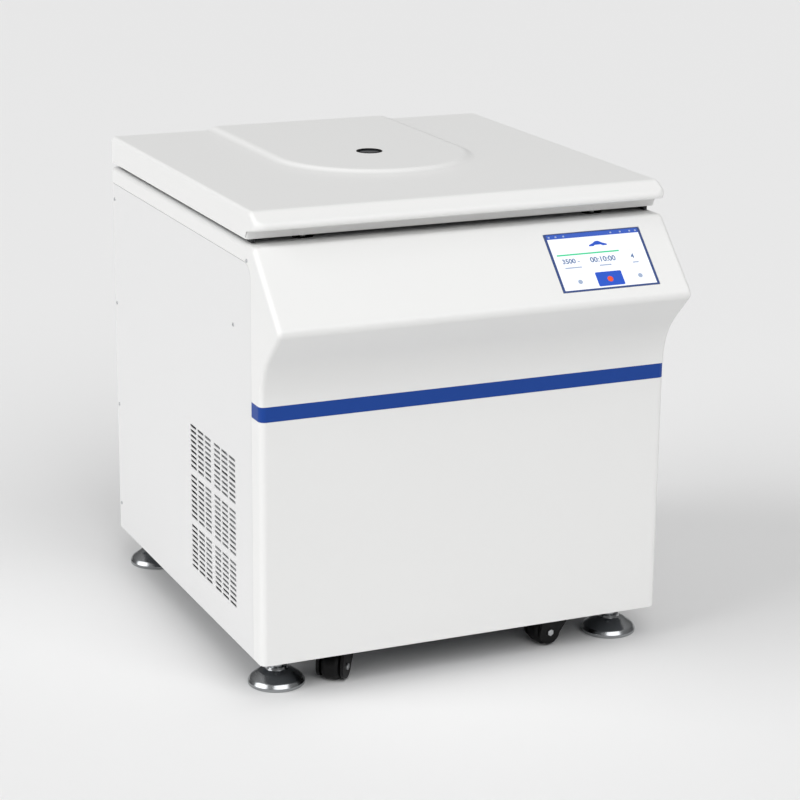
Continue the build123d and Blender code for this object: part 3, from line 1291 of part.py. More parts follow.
def caster_fork(x, y, turn, swivel):
    """Fork with its head disc, axle and, on a swivel caster, its kingpin."""
    top = fork_top()
    inner = WHEEL_WIDTH / 2 + WHEEL_GAP
    half = inner + FORK_WALL
    cheek = Plane.XZ * caster_outline(CASTER_TRAIL)
    fork = Pos(0, half, 0) * extrude(cheek, FORK_WALL) + Pos(0, -inner, 0) * extrude(cheek, FORK_WALL)
    fork += rod(half + 1, (0, 0, top - 1), (0, 0, BOTTOM - 1 - SNUG if swivel else BOTTOM - 1))
    if swivel:
        fork += rod(KINGPIN, (0, 0, top), (0, 0, PAN_BOTTOM + PAN_WALL + 6))
        fork += rod(KINGPIN + 4, (0, 0, PAN_BOTTOM + PAN_WALL + SNUG), (0, 0, PAN_BOTTOM + PAN_WALL + 6))
    axle_half = half + 2.5
    fork -= rod(CASTER_AXLE, (CASTER_TRAIL, -axle_half, WHEEL_Z), (CASTER_TRAIL, axle_half, WHEEL_Z))
    axle = rod(CASTER_AXLE, (CASTER_TRAIL, -half, WHEEL_Z), (CASTER_TRAIL, half, WHEEL_Z))
    for side in (-1, 1):
        start, end = [(CASTER_TRAIL, side * reach, WHEEL_Z) for reach in (half, axle_half)]
        axle += rod(CASTER_AXLE + 2.2, start, end)
    place = Pos(x, y, 0) * Rot(0, 0, turn)
    return [place * fork, place * axle]


def caster_wheel(x, y, turn):
    """Wide wheel with a rounded tread and a plain bore."""
    r, w = WHEEL_RADIUS, WHEEL_WIDTH / 2
    bore = CASTER_AXLE + FIT
    upper = [(r, w - 7), (r - 3, w - 3), (r - 6, w - 2), (12, w - 2), (10, w), (bore, w)]
    lower = [(radius, -height) for radius, height in reversed(upper)]
    wheel = Pos(CASTER_TRAIL, 0, WHEEL_Z) * Rot(90, 0, 0) * spun(lower + upper, y=0)
    return Pos(x, y, 0) * Rot(0, 0, turn) * wheel


def caster_mounts():
    """Top plates under the base pan: two for the swivels, two with the fixed rear forks and axles."""
    parts = []
    for side in (-1, 1):
        x, y = side * CASTER_SPREAD, FRONT + CASTER_BACK
        plate = block((x - 30, y - 30, BOTTOM - 1), (x + 30, y + 30, PAN_BOTTOM))
        parts.append(plate - rod(KINGPIN + FIT, (x, y, 0), (x, y, BOTTOM + 9)))
        y = rear_caster_y()
        plate = block((x - 30, y - 30, BOTTOM - 1), (x + 30, y + 30, PAN_BOTTOM))
        fork, axle = caster_fork(x, y, 90, False)
        parts.append(plate + fork)
        parts.append(axle)
    return parts


def rear_caster_y():
    return BACK - REAR_CASTER - CASTER_TRAIL


FRONT_CASTERS = {
    "left": (-CASTER_SPREAD, FRONT + CASTER_BACK, LEFT_CASTER_TURN),
    "right": (CASTER_SPREAD, FRONT + CASTER_BACK, RIGHT_CASTER_TURN),
}
REAR_CASTERS = {
    "left": (-CASTER_SPREAD, rear_caster_y(), 90.0),
    "right": (CASTER_SPREAD, rear_caster_y(), 90.0),
}


# ---------------------------------------------------------------- every node, by name
def all_nodes():
    nodes = {
        "top_cover": top_cover(),
        "front_panel": front_panel(),
        "front_stripe": front_stripe(),
        "left_side_panel": side_panel(-1),
        "right_side_panel": side_panel(1),
        "rear_panel": rear_panel(),
        "panel_screws": panel_screws(),
        "base_pan": base_pan(),
        "welded_frame": welded_frame(),
        "chamber_bowl": chamber_bowl(),
        "chamber_seal": chamber_seal(),
        "cooling_coil": cooling_coil(),
        "chamber_insulation": chamber_insulation(),
        "guard_ring": guard_ring(),
        "motor_housing": motor_housing(),
        "drive_rubbers": motor_mounts() + [shaft_boot()],
        "motor_bearings": motor_bearings(),
        "drive_shaft": drive_shaft(),
        "rotor_head": rotor_head(),
        "rotor_knob": rotor_knob(),
        "lid_shell": lid_shell(),
        "lid_plate": lid_plate(),
        "lid_liner": lid_liner(),
        "lid_gasket": lid_gasket(),
        "port_tube": port_tube(),
        "viewing_windows": viewing_windows(),
        "lid_strikers": lid_strikers(),
        "cabinet_hinges": cabinet_hinges(),
        "lid_hinges": lid_hinges(),
        "strut_rods": strut_rods(),
        "strut_cylinders": strut_cylinders(),
        "lock_bezels": lock_bezels(),
        "lock_bar": lock_bar(),
        "lock_actuator": lock_actuator(),
        "touch_screen": touch_screen(),
        "display_housing": display_housing(),
        "power_entry": power_entry(),
        "mains_rocker": mains_rocker(),
        "condensate_spigot": condensate_spigot(),
        "compressor": compressor(),
        "condenser": condenser(),
        "fan_shroud": fan_shroud(),
        "fan_blades": fan_blades(),
        "inverter_box": inverter_box(),
        "refrigerant_pipes": refrigerant_pipes(),
        "caster_mounts": caster_mounts(),
    }
    for index in range(4):
        nodes[f"bucket_{index + 1}"] = bucket(index)
    for place in FOOT_PLACES:
        nodes[f"levelling_foot_{place}"] = levelling_foot(place)
    for side, (x, y, turn) in FRONT_CASTERS.items():
        nodes[f"caster_fork_{side}"] = caster_fork(x, y, turn, True)
        nodes[f"front_wheel_{side}"] = caster_wheel(x, y, turn)
    for side, (x, y, turn) in REAR_CASTERS.items():
        nodes[f"rear_wheel_{side}"] = caster_wheel(x, y, turn)
    return nodes


def solids_of(piece):
    """All solids of a piece, whether it is one shape or a list of shapes."""
    shapes = piece if isinstance(piece, list) else [piece]
    return [solid for shape in shapes for solid in shape.solids()]


os.makedirs("parts", exist_ok=True)
for name, piece in all_nodes().items():
    solids = solids_of(piece)
    export_step(solids[0] if len(solids) == 1 else Compound(children=solids), f"parts/{name}.step")
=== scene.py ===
# %% [markdown]
# A floor-standing refrigerated centrifuge is a sheet-steel cabinet with a moulded front, a heavy
# hinged lid and a sloping console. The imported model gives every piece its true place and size.
# This lesson builds the visible pieces again with finer edges, adds what is too small for the
# solids, and gives each piece the finish of its real material. It starts by loading the model.

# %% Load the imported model
from math import cos, pi, radians, sin, sqrt

import bmesh
import bpy
from mathutils import Matrix, Vector


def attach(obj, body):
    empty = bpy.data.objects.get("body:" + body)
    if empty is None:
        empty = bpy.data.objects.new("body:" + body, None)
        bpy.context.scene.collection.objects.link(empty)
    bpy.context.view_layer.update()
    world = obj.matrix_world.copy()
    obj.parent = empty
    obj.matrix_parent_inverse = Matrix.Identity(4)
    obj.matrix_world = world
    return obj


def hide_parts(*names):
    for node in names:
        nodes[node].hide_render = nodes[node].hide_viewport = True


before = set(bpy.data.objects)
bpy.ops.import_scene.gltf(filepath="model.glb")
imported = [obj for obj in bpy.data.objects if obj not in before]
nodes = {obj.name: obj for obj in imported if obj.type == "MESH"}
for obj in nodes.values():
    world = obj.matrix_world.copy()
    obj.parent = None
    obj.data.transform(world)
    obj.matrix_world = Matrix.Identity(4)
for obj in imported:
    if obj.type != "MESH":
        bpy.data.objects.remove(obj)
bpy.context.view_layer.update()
print(len(nodes), "nodes loaded")

# %% [markdown]
# All sizes are the maker's sizes in metres. Heights are counted from the cabinet's lower edge and
# depths from the lower front face, so two small functions turn them into places in the scene.

# %% Sizes of the cabinet and lid
HALF = 0.375
CABINET_DEPTH = 0.777
FLOOR_GAP = 0.063
FRONT = -0.35475
BACK = FRONT + CABINET_DEPTH
DECK = 0.709
LID_BOTTOM = 0.718
LID_TOP = 0.766
STRIPE_LOW = 0.425
STRIPE_HIGH = 0.451
RETURN = 0.0395
SEAM = 0.680
WALL = 0.003
ROTOR_BACK = 0.434
ROTOR_Y = FRONT + ROTOR_BACK
SNUG = 0.0003


def depth(value):
    """Scene Y of a distance behind the lower front face."""
    return FRONT + value


def height(value):
    """Scene Z of a height above the cabinet's lower edge."""
    return FLOOR_GAP + value


# %% [markdown]
# Blender's tools act on what is selected and in the mode that is on. These helpers select one
# object alone, pick edges or faces by a test on their middle point, and switch modes, so that
# each later step can say only what it does to the shape.

# %% Helpers for selecting
def only(obj):
    """Select one object alone and make it the active one."""
    bpy.ops.object.select_all(action="DESELECT")
    obj.select_set(True)
    bpy.context.view_layer.objects.active = obj


def middle_of(element):
    """Middle point of an edge or a face."""
    total = sum((v.co for v in element.verts), Vector())
    return total / len(element.verts)


def pick(obj, kind, test):
    """In edit mode, select only the edges or faces for which the test holds, and count them."""
    bpy.ops.mesh.select_mode(type=kind)
    bpy.ops.mesh.select_all(action="DESELECT")
    mesh = bmesh.from_edit_mesh(obj.data)
    chosen = [e for e in (mesh.edges if kind == "EDGE" else mesh.faces) if test(e)]
    for element in chosen:
        element.select_set(True)
    bmesh.update_edit_mesh(obj.data)
    return len(chosen)


def edit(obj):
    """Go into edit mode on one object."""
    only(obj)
    bpy.ops.object.mode_set(mode="EDIT")


def leave():
    """Go back to object mode."""
    bpy.ops.object.mode_set(mode="OBJECT")


# %% [markdown]
# Bent sheet and mouldings are known by their side outline. One point is extruded from corner to
# corner, as with the E key, the loop is filled, and the face is pushed along its length.
# Rounded corners of an outline are worked out first, as short runs of points.

# %% Outlines drawn by extruding
def rounded(points, radii, steps=6):
    """Outline with its corners rounded; a radius of 0 keeps a corner sharp."""
    made = []
    for i, radius in enumerate(radii):
        here = Vector(points[i])
        back = (Vector(points[i - 1]) - here).normalized()
        ahead = (Vector(points[(i + 1) % len(points)]) - here).normalized()
        if radius == 0:
            made.append(here)
            continue
        half_angle = back.angle(ahead) / 2
        centre = here + (back + ahead).normalized() * radius / sin(half_angle)
        reach = radius / sin(half_angle) * cos(half_angle)
        start = (here + back * reach) - centre
        end = (here + ahead * reach) - centre
        turn = start.angle(end)
        for k in range(steps + 1):
            share = k / steps
            mix = (start * sin((1 - share) * turn) + end * sin(share * turn)) / sin(turn)
            made.append(centre + mix)
    return made


def drawn(name, places, push=None):
    """Draw a closed outline by extruding one vertex, fill it, and push the face along a vector."""
    bpy.ops.object.select_all(action="DESELECT")
    bpy.ops.mesh.primitive_plane_add(size=0.001)
    obj = bpy.context.object
    obj.name = name
    bpy.ops.object.mode_set(mode="EDIT")
    bpy.ops.mesh.select_mode(type="VERT")
    bpy.ops.mesh.select_all(action="SELECT")
    bpy.ops.mesh.merge(type="CENTER")
    bpy.ops.transform.translate(value=places[0])
    for here, there in zip(places, places[1:]):
        step = Vector(there) - Vector(here)
        bpy.ops.mesh.extrude_region_move(TRANSFORM_OT_translate={"value": step})
    bpy.ops.mesh.select_all(action="SELECT")
    bpy.ops.mesh.edge_face_add()
    if push:
        bpy.ops.mesh.extrude_region_move(TRANSFORM_OT_translate={"value": push})
    bpy.ops.mesh.select_all(action="SELECT")
    bpy.ops.mesh.normals_make_consistent(inside=False)
    leave()
    return obj


def side_drawn(name, outline, low, high):
    """Push an outline of depths and heights along X, from low to high."""
    return drawn(name, [(low, depth(y), height(z)) for y, z in outline], (high - low, 0, 0))


# %% [markdown]
# Three finishing moves repeat on every piece: rounding chosen edges with Bevel, cutting one mesh
# with another, and turning a half outline round an axis with Spin. Boolean modifiers are applied
# at once, so the finished mesh is what rides on the model.

# %% Bevel, boolean and spin helpers
def soften(obj, test, radius, segments=4):
    """Round the edges that pass a test."""
    edit(obj)
    count = pick(obj, "EDGE", test)
    if count:
        bpy.ops.mesh.bevel(offset=radius, offset_type="OFFSET", segments=segments, affect="EDGES")
    leave()
    return count


def combine(obj, other, operation):
    """Apply a boolean with another object, and remove that object."""
    only(obj)
    change = obj.modifiers.new("join", "BOOLEAN")
    change.operation = operation
    change.object = other
    change.solver = "EXACT"
    bpy.ops.object.modifier_apply(modifier=change.name)
    bpy.data.objects.remove(other)
    return obj


def tidy(obj):
    """Merge doubles, drop loose edges and turn every face outwards."""
    edit(obj)
    bpy.ops.mesh.select_all(action="SELECT")
    bpy.ops.mesh.remove_doubles(threshold=0.00002)
    bpy.ops.mesh.delete_loose(use_verts=True, use_edges=True, use_faces=False)
    bpy.ops.mesh.select_all(action="SELECT")
    bpy.ops.mesh.normals_make_consistent(inside=False)
    leave()
    return obj


def turned(name, outline, centre=(0, 0, 0), steps=64):
    """Turn a closed outline of radii and heights round a vertical axis through a centre."""
    x, y, z = centre
    obj = drawn(name, [(x + r, y, z + h) for r, h in outline])
    edit(obj)
    bpy.ops.mesh.select_all(action="SELECT")
    bpy.ops.mesh.delete(type="ONLY_FACE")
    bpy.ops.mesh.select_all(action="SELECT")
    bpy.ops.mesh.spin(steps=steps, angle=2 * pi, center=centre, axis=(0, 0, 1))
    leave()
    return tidy(obj)


def box(name, low, high):
    """A box between two opposite corners, drawn from a cube."""
    size = [h - l for l, h in zip(low, high)]
    middle = [(h + l) / 2 for l, h in zip(low, high)]
    bpy.ops.object.select_all(action="DESELECT")
    bpy.ops.mesh.primitive_cube_add(size=1, location=middle)
    obj = bpy.context.object
    obj.name = name
    obj.scale = size
    bpy.ops.object.transform_apply(location=True, rotation=True, scale=True)
    return obj


def bar(name, radius, start, end, sides=32):
    """A round bar between two points, from a cylinder."""
    start, end = Vector(start), Vector(end)
    line = end - start
    bpy.ops.object.select_all(action="DESELECT")
    bpy.ops.mesh.primitive_cylinder_add(radius=radius, depth=line.length, vertices=sides)
    obj = bpy.context.object
    obj.name = name
    turn = line.to_track_quat("Z", "Y").to_matrix().to_4x4()
    obj.matrix_world = Matrix.Translation((start + end) / 2) @ turn
    bpy.ops.object.transform_apply(location=True, rotation=True, scale=True)
    return obj


# %% [markdown]
# Slots, screws and rotor arms repeat, so each is modelled once, and its copies get meshes of their
# own. Parts that are one piece on the real machine are joined. Ovals come from one function too,
# because the lock holes, the louvres and the rear grille all have that outline.

# %% Copies, joins and ovals
def copied(obj, place):
    """A copy of an object with a mesh of its own, moved by a matrix."""
    one = obj.copy()
    one.data = obj.data.copy()
    bpy.context.collection.objects.link(one)
    one.data.transform(place)
    return one


def joined(name, parts):
    """Join parts into the first one, under one name."""
    only(parts[0])
    for part in parts:
        part.select_set(True)
    bpy.ops.object.join()
    parts[0].name = name
    return parts[0]


def stadium(reach, radius, steps):
    """Outline of an oval: two half circles at a reach from its middle, and straight sides."""
    return [
        (side * reach + radius * cos(a), radius * sin(a))
        for side, first in ((1, -pi / 2), (-1, pi / 2))
        for a in [first + pi * i / steps for i in range(steps + 1)]
    ]


def runs_along(edge, axis, least=1e-4):
    """True if an edge has some length along an axis: 0 for X, 1 for Y, 2 for Z."""
    first, second = edge.verts
    return abs(first.co[axis] - second.co[axis]) > least


# %% [markdown]
# Paint and plastic colours are noted as the hex codes of a colour chart, which are sRGB. Shaders
# count light in linear steps, so one function converts them. Another adds any node, with its
# settings and its links, so that every material below reads as a short list.

# %% Colour and node helpers
def linear(code):
    """Hex colour to the linear values that shaders take."""
    parts = [int(code[i:i + 2], 16) / 255 for i in (1, 3, 5)]
    return (*[c / 12.92 if c <= 0.04045 else ((c + 0.055) / 1.055) ** 2.4 for c in parts], 1.0)


def add(tree, kind, settings=None, links=None):
    """Add a node, set its sockets or properties, and link its inputs."""
    made = tree.nodes.new(kind)
    for name, value in (settings or {}).items():
        if name in made.inputs:
            made.inputs[name].default_value = value
        else:
            setattr(made, name, value)
    for name, source in (links or {}).items():
        tree.links.new(source, made.inputs[name])
    return made


def finish_named(name, colour, **sockets):
    """A material with constant values on the shader's own sockets."""
    made = bpy.data.materials.new(name)
    made.use_nodes = True
    shader = made.node_tree.nodes["Principled BSDF"]
    shader.inputs["Base Color"].default_value = linear(colour)
    for socket, value in sockets.items():
        shader.inputs[socket.replace("_", " ")].default_value = value
    made.diffuse_color = linear(colour)
    return made


def grained(material, grain, lift, detail=2.0, stretch=(1, 1, 1)):
    """Give a finish a fine relief: grain is its real size and lift its height, in metres."""
    tree = material.node_tree
    place = add(tree, "ShaderNodeTexCoord")
    spread = add(tree, "ShaderNodeMapping", {"Scale": stretch}, {"Vector": place.outputs["Object"]})
    noise = add(
        tree, "ShaderNodeTexNoise", {"Scale": 1 / grain, "Detail": detail},
        {"Vector": spread.outputs["Vector"]},
    )
    bump = add(
        tree, "ShaderNodeBump", {"Strength": 0.6, "Distance": lift}, {"Height": noise.outputs["Fac"]}
    )
    shader = tree.nodes["Principled BSDF"]
    tree.links.new(bump.outputs["Normal"], shader.inputs["Normal"])
    return material


# %% [markdown]
# The big panels are two different whites. The lid, console and lower front are injection-moulded
# ABS with a spark-eroded texture: a warm, even, half-matt white. The side and rear panels are
# steel sheet with powder coat, which is a little greyer and shows a slight orange-peel relief. Both
# grains are drawn a little coarser than life, because a true 0.1 mm grain can't show. The black
# nylon and enamel are dull, so they get a low specular level and stay black beside the white.

# %% Whites, blue and the dark plastics
moulded_abs = grained(
    finish_named("moulded_white_abs", "#EDEDEC", Roughness=0.42, IOR=1.53), 0.0012, 0.00002
)
powder_coat = grained(
    finish_named("white_powder_coat_on_steel", "#E6E6E6", Roughness=0.36, IOR=1.5), 0.0030, 0.00003
)
blue_abs = grained(
    finish_named("moulded_blue_abs", "#0C4095", Roughness=0.42, IOR=1.53, Specular_IOR_Level=0.25),
    0.0012, 0.00002,
)
black_nylon = grained(
    finish_named("moulded_black_nylon", "#060607", Roughness=0.55, IOR=1.53, Specular_IOR_Level=0.22),
    0.0010, 0.00003,
)
dark_rubber = grained(
    finish_named("moulded_epdm_rubber", "#38393B", Roughness=0.72, IOR=1.5), 0.0015, 0.00004
)
black_enamel = finish_named(
    "stoved_black_enamel", "#060607", Roughness=0.40, IOR=1.5, Specular_IOR_Level=0.22
)
grey_enamel = grained(
    finish_named("stoved_grey_enamel", "#6C6F73", Roughness=0.40, IOR=1.5), 0.0020, 0.00002
)
yellow_foam = grained(
    finish_named("moulded_polyurethane_foam", "#D8CDA4", Roughness=0.9), 0.0030, 0.0002
)

# %% [markdown]
# Metals take their look from how they were worked. Chrome plate is a mirror. Deep-drawn stainless
# steel is brushed round and round. Turned and milled aluminium is anodised, which leaves a soft,
# slightly dull sheen, and copper tube is drawn smooth.

# %% Metals
chrome_plate = finish_named("chrome_plated_steel", "#A6A8AA", Metallic=1.0, Roughness=0.22)
zinc_plate = finish_named("bright_zinc_plated_steel", "#C3C5C7", Metallic=1.0, Roughness=0.28)
brushed_stainless = finish_named("brushed_stainless_steel", "#B9BBBD", Metallic=1.0, Roughness=0.30)
ground_steel = finish_named("ground_steel", "#A5A7A9", Metallic=1.0, Roughness=0.25)
milled_aluminium = grained(
    finish_named("milled_anodised_aluminium", "#A9ACAF", Metallic=1.0, Roughness=0.38),
    0.0015, 0.00001,
)
black_aluminium = finish_named("black_anodised_aluminium", "#1D1F22", Metallic=0.6, Roughness=0.35)
drawn_copper = finish_named("drawn_copper_tube", "#C07A55", Metallic=1.0, Roughness=0.25)
cast_iron = grained(finish_named("painted_cast_iron", "#3A3D41", Roughness=0.5), 0.0020, 0.0001)
fin_aluminium = finish_named("rolled_aluminium_fin", "#B5B7B9", Metallic=1.0, Roughness=0.42)
smoked_glass = finish_named(
    "smoked_polycarbonate", "#3A3D40", Roughness=0.08, IOR=1.585, Coat_Weight=0.5
)

# %% [markdown]
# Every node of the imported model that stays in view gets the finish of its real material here.
# Pieces that are built again further down replace their nodes later.

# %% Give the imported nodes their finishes
NODE_FINISHES = {
    moulded_abs: ["top_cover", "front_panel", "lid_shell"],
    blue_abs: ["front_stripe"],
    powder_coat: ["left_side_panel", "right_side_panel", "rear_panel"],
    grey_enamel: ["base_pan", "welded_frame", "guard_ring", "lock_actuator"],
    zinc_plate: ["cabinet_hinges", "lid_hinges", "panel_screws"],
    brushed_stainless: ["chamber_bowl", "lid_plate", "lid_liner"],
    dark_rubber: ["chamber_seal", "lid_gasket", "drive_rubbers"],
    yellow_foam: ["chamber_insulation"],
    drawn_copper: ["cooling_coil", "refrigerant_pipes"],
    cast_iron: ["motor_housing"],
    ground_steel: ["drive_shaft", "motor_bearings", "lid_strikers", "lock_bar"],
    milled_aluminium: ["rotor_head", "bucket_1", "bucket_2", "bucket_3", "bucket_4"],
    black_aluminium: ["rotor_knob"],
    black_nylon: [
        "lock_bezels", "port_tube", "power_entry", "mains_rocker", "display_housing", "fan_blades",
        "condensate_spigot", "front_wheel_left", "front_wheel_right", "rear_wheel_left",
        "rear_wheel_right",
    ],
    smoked_glass: ["viewing_windows"],
    chrome_plate: [
        "strut_rods", "levelling_foot_front_left", "levelling_foot_front_right",
        "levelling_foot_rear_left", "levelling_foot_rear_right",
    ],
    black_enamel: [
        "strut_cylinders", "compressor", "fan_shroud", "caster_mounts", "caster_fork_left",
        "caster_fork_right",
    ],
    fin_aluminium: ["condenser", "inverter_box"],
}
for finish, names in NODE_FINISHES.items():
    for name in names:
        nodes[name].data.materials.clear()
        nodes[name].data.materials.append(finish)

# %% [markdown]
# Every finished piece is smoothed the same way. Faces that meet at a low angle are shaded as one
# surface, and a Weighted Normal modifier keeps the large flat faces flat beside their rounded
# edges. Then the piece rides on its body, takes over its nodes and gets its material.

# %% Finishing helper
def dressed(obj, material, ride, replaced=(), angle=32):
    """Smooth a finished piece, give it its material, and tie it to the model."""
    only(obj)
    bpy.ops.object.shade_smooth_by_angle(angle=radians(angle))
    obj.modifiers.new("even", "WEIGHTED_NORMAL").keep_sharp = True
    bpy.ops.object.modifier_apply(modifier="even")
    if material:
        obj.data.materials.clear()
        obj.data.materials.append(material)
    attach(obj, ride)
    if replaced:
        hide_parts(*([replaced] if isinstance(replaced, str) else replaced))
    print(obj.name, len(obj.data.polygons), "faces")
    return obj


# %% [markdown]
# The lid is one large vacuum-formed or injection-moulded shell over a steel plate. Its side
# outline shows a flat top, a sloped front that ends in a nose, and a set-back lip under it. The
# outline is drawn once and pushed across the whole width. Seen from above, the nose and the lip
# have round corners, which are bevelled first. Then one long rounding runs along one end, round
# the nose and back along the other end, and the edge under the nose gets a smaller one.

# %% The lid's outer form
NOSE_TOP = (0.012, LID_TOP - 0.018)
NOSE_LOW = (0.015, LID_TOP - 0.027)
LIP_TOP = (0.0565, LID_BOTTOM + 0.013)
LID_OUTLINE = [
    (CABINET_DEPTH, LID_BOTTOM), (CABINET_DEPTH, LID_TOP), (0.045, LID_TOP), NOSE_TOP, NOSE_LOW,
    LIP_TOP, (0.058, LID_BOTTOM),
]
NOSE_MIDDLE = (NOSE_TOP[1] + NOSE_LOW[1]) / 2
LIP_MIDDLE = (LIP_TOP[1] + LID_BOTTOM) / 2
lid = side_drawn("lid_moulding", rounded(LID_OUTLINE, (0, 0, 0.026, 0, 0, 0, 0), 8), -HALF, HALF)


def upright_at(edge, middle, furthest):
    """True for the lid's upright end edge at a height, in front of a depth."""
    place = middle_of(edge)
    return (abs(abs(place.x) - HALF) < 1e-5 and abs(place.z - height(middle)) < 1e-4
            and place.y < depth(furthest))


corners = soften(lid, lambda e: upright_at(e, LIP_MIDDLE, 0.06), 0.006)
corners += soften(lid, lambda e: upright_at(e, NOSE_MIDDLE, 0.016), 0.018, 8)
rim = soften(
    lid,
    lambda e: len(e.link_faces) == 2 and middle_of(e).y < BACK - 1e-4
    and max(f.normal.z for f in e.link_faces) > 0.5
    and abs(min(f.normal.z for f in e.link_faces)) < 0.45,
    0.008, 6,
)
under = soften(
    lid,
    lambda e: len(e.link_faces) == 2 and depth(0.001) < middle_of(e).y < depth(0.0545)
    and min(f.normal.z for f in e.link_faces) < -0.7
    and abs(max(f.normal.z for f in e.link_faces)) < 0.45
    and middle_of(e).z > height(LID_BOTTOM + 0.010),
    0.0035, 4,
)
print("round corners", corners, "rim edges", rim, "edges under the nose", under)

# %% [markdown]
# A shallow plateau rises over the chamber and runs straight back to the hinges, which stiffens
# the moulding there. Its plan is half a circle with two straight sides. The face is inset and
# raised in one move, so that its border becomes a gentle slope, and the slope's two edges are
# rounded so that the plateau grows softly out of the lid.

# %% The raised plateau
PLATEAU = 0.173
BORDER = 0.0165
RISE = 0.007
SUNK = 0.002
foot = PLATEAU + BORDER
plan = [
    (foot * cos(a), ROTOR_Y + foot * sin(a)) for a in [pi + pi * i / 48 for i in range(49)]
] + [(foot, BACK + 0.05), (-foot, BACK + 0.05)]
plateau = drawn("plateau", [(x, y, height(LID_TOP - SUNK)) for x, y in plan], (0, 0, SUNK))
edit(plateau)
pick(plateau, "FACE", lambda f: f.normal.z > 0.9)
bpy.ops.mesh.inset(thickness=BORDER, depth=RISE, use_boundary=True, use_even_offset=True)
leave()
soften(plateau, lambda e: all(v.co.z > height(LID_TOP + RISE) - 1e-5 for v in e.verts), 0.0050, 5)
edit(plateau)
bpy.ops.mesh.select_all(action="SELECT")
bpy.ops.mesh.bisect(
    plane_co=(0, BACK - 0.0002, 0), plane_no=(0, 1, 0), use_fill=True, clear_outer=True, threshold=1e-5
)
leave()
combine(lid, plateau, "UNION")

# %% [markdown]
# The moulding is hollow underneath, with walls of about 3 mm. The same outline moved inwards
# makes the hollow, and a round bar cuts the hole of the viewing port through the plateau.

# %% The lid's hollow and port hole
hollow = side_drawn("hollow", [
    (CABINET_DEPTH - WALL, LID_BOTTOM - 0.001), (CABINET_DEPTH - WALL, LID_TOP - WALL),
    (0.049, LID_TOP - WALL), (0.0285, LID_TOP - 0.016), (0.0285, LID_TOP - 0.022),
    (0.061, LID_BOTTOM + 0.015), (0.061, LID_BOTTOM - 0.001),
], -HALF + WALL, HALF - WALL)
soften(hollow, lambda e: abs(abs(middle_of(e).x) - HALF + WALL) < 1e-5
       and middle_of(e).z > height(LID_TOP - WALL) - 1e-5, 0.006, 3)
combine(lid, hollow, "DIFFERENCE")
port = bar("port", 0.022, (0, ROTOR_Y, height(LID_BOTTOM)), (0, ROTOR_Y, height(LID_TOP + 0.03)), 64)
combine(lid, port, "DIFFERENCE")
dressed(lid, moulded_abs, "lid", "lid_shell")

# %% [markdown]
# The top cover is one moulding too: the deck round the chamber, the sloping console, its rounded
# nose, and the hollow sweep below it that leads down to the blue stripe. A narrow flange turns
# down along each side and ends in a rounded corner. The concave sweep is an arc of 120 mm radius.

# %% The cover's outer form
SWEEP = 0.120
NOSE = 0.08897
NOSE_HEIGHT = 0.592
sweep_height = NOSE_HEIGHT - NOSE + SWEEP - SWEEP * sqrt(2)
sweep = [
    (-SWEEP + SWEEP * cos(a), sweep_height + SWEEP * sin(a))
    for a in [pi / 4 * (1 - i / 14) for i in range(15)]
]
front_edge = (DECK - NOSE_HEIGHT - NOSE, DECK)
shape = rounded([
    (CABINET_DEPTH, SEAM), (CABINET_DEPTH, DECK), front_edge, (-NOSE, NOSE_HEIGHT), sweep[0],
    *sweep[1:], (0, STRIPE_HIGH), (RETURN, STRIPE_HIGH), (RETURN, SEAM),
], (0, 0, 0.014, 0.012, 0, *[0] * 14, 0, 0, 0.026), 8)
cover = side_drawn("cover_moulding", shape, -HALF, HALF)
count = soften(
    cover,
    lambda e: abs(abs(middle_of(e).x) - HALF) < 1e-5
    and abs(e.verts[0].co.x - e.verts[1].co.x) < 1e-5
    and not (middle_of(e).y > depth(RETURN) - 0.001 and middle_of(e).z < height(DECK) - 0.006)
    and middle_of(e).z > height(STRIPE_HIGH) + 1e-4 and middle_of(e).y < BACK - 1e-4,
    0.009, 6,
)
print("cover end edges", count)

# %% [markdown]
# Inside, the cover is a shell of 3 mm. The hollow is the same outline moved inwards and opened
# at the bottom and the back. Then the deck gets its round mouth, the console its window for the
# screen, and the deck its oval lock holes and the two slots that the gas struts pass through.

# %% The cover's hollow and openings
inner_sweep = [
    (-SWEEP + (SWEEP + WALL) * cos(a), sweep_height + (SWEEP + WALL) * sin(a))
    for a in [pi / 4 * (1 - i / 14) for i in range(15)]
]
drop = WALL * sqrt(2)
inner_edge = (DECK - WALL - NOSE_HEIGHT - NOSE + drop, DECK - WALL)
inside = rounded([
    (CABINET_DEPTH + 0.04, STRIPE_HIGH - 0.04), (CABINET_DEPTH + 0.04, DECK - WALL), inner_edge,
    (-NOSE + drop, NOSE_HEIGHT), *inner_sweep, (WALL, STRIPE_HIGH - 0.04),
], (0, 0, 0.011, 0.009, *[0] * 16), 8)
hollow = side_drawn("hollow", inside, -HALF + WALL, HALF - WALL)
soften(
    hollow,
    lambda e: abs(abs(middle_of(e).x) - HALF + WALL) < 1e-5
    and abs(e.verts[0].co.x - e.verts[1].co.x) < 1e-5
    and middle_of(e).z > height(STRIPE_HIGH) - 0.035 and middle_of(e).y < BACK + 0.03,
    0.006, 4,
)
combine(cover, hollow, "DIFFERENCE")
BELOW_DECK, ABOVE_DECK = height(DECK - 0.01), height(DECK + 0.01)
mouth = bar("mouth", 0.258, (0, ROTOR_Y, BELOW_DECK), (0, ROTOR_Y, ABOVE_DECK), 128)
combine(cover, mouth, "DIFFERENCE")

SCREEN_X = 0.228
SCREEN_WIDTH = 0.183
SCREEN_TALL = 0.116
step = 0.0795 / sqrt(2)
SCREEN_MIDDLE = Vector((SCREEN_X, depth(front_edge[0] - step), height(DECK - step)))
SLOPE = Matrix.Translation(SCREEN_MIDDLE) @ Matrix.Rotation(radians(45), 4, "X")


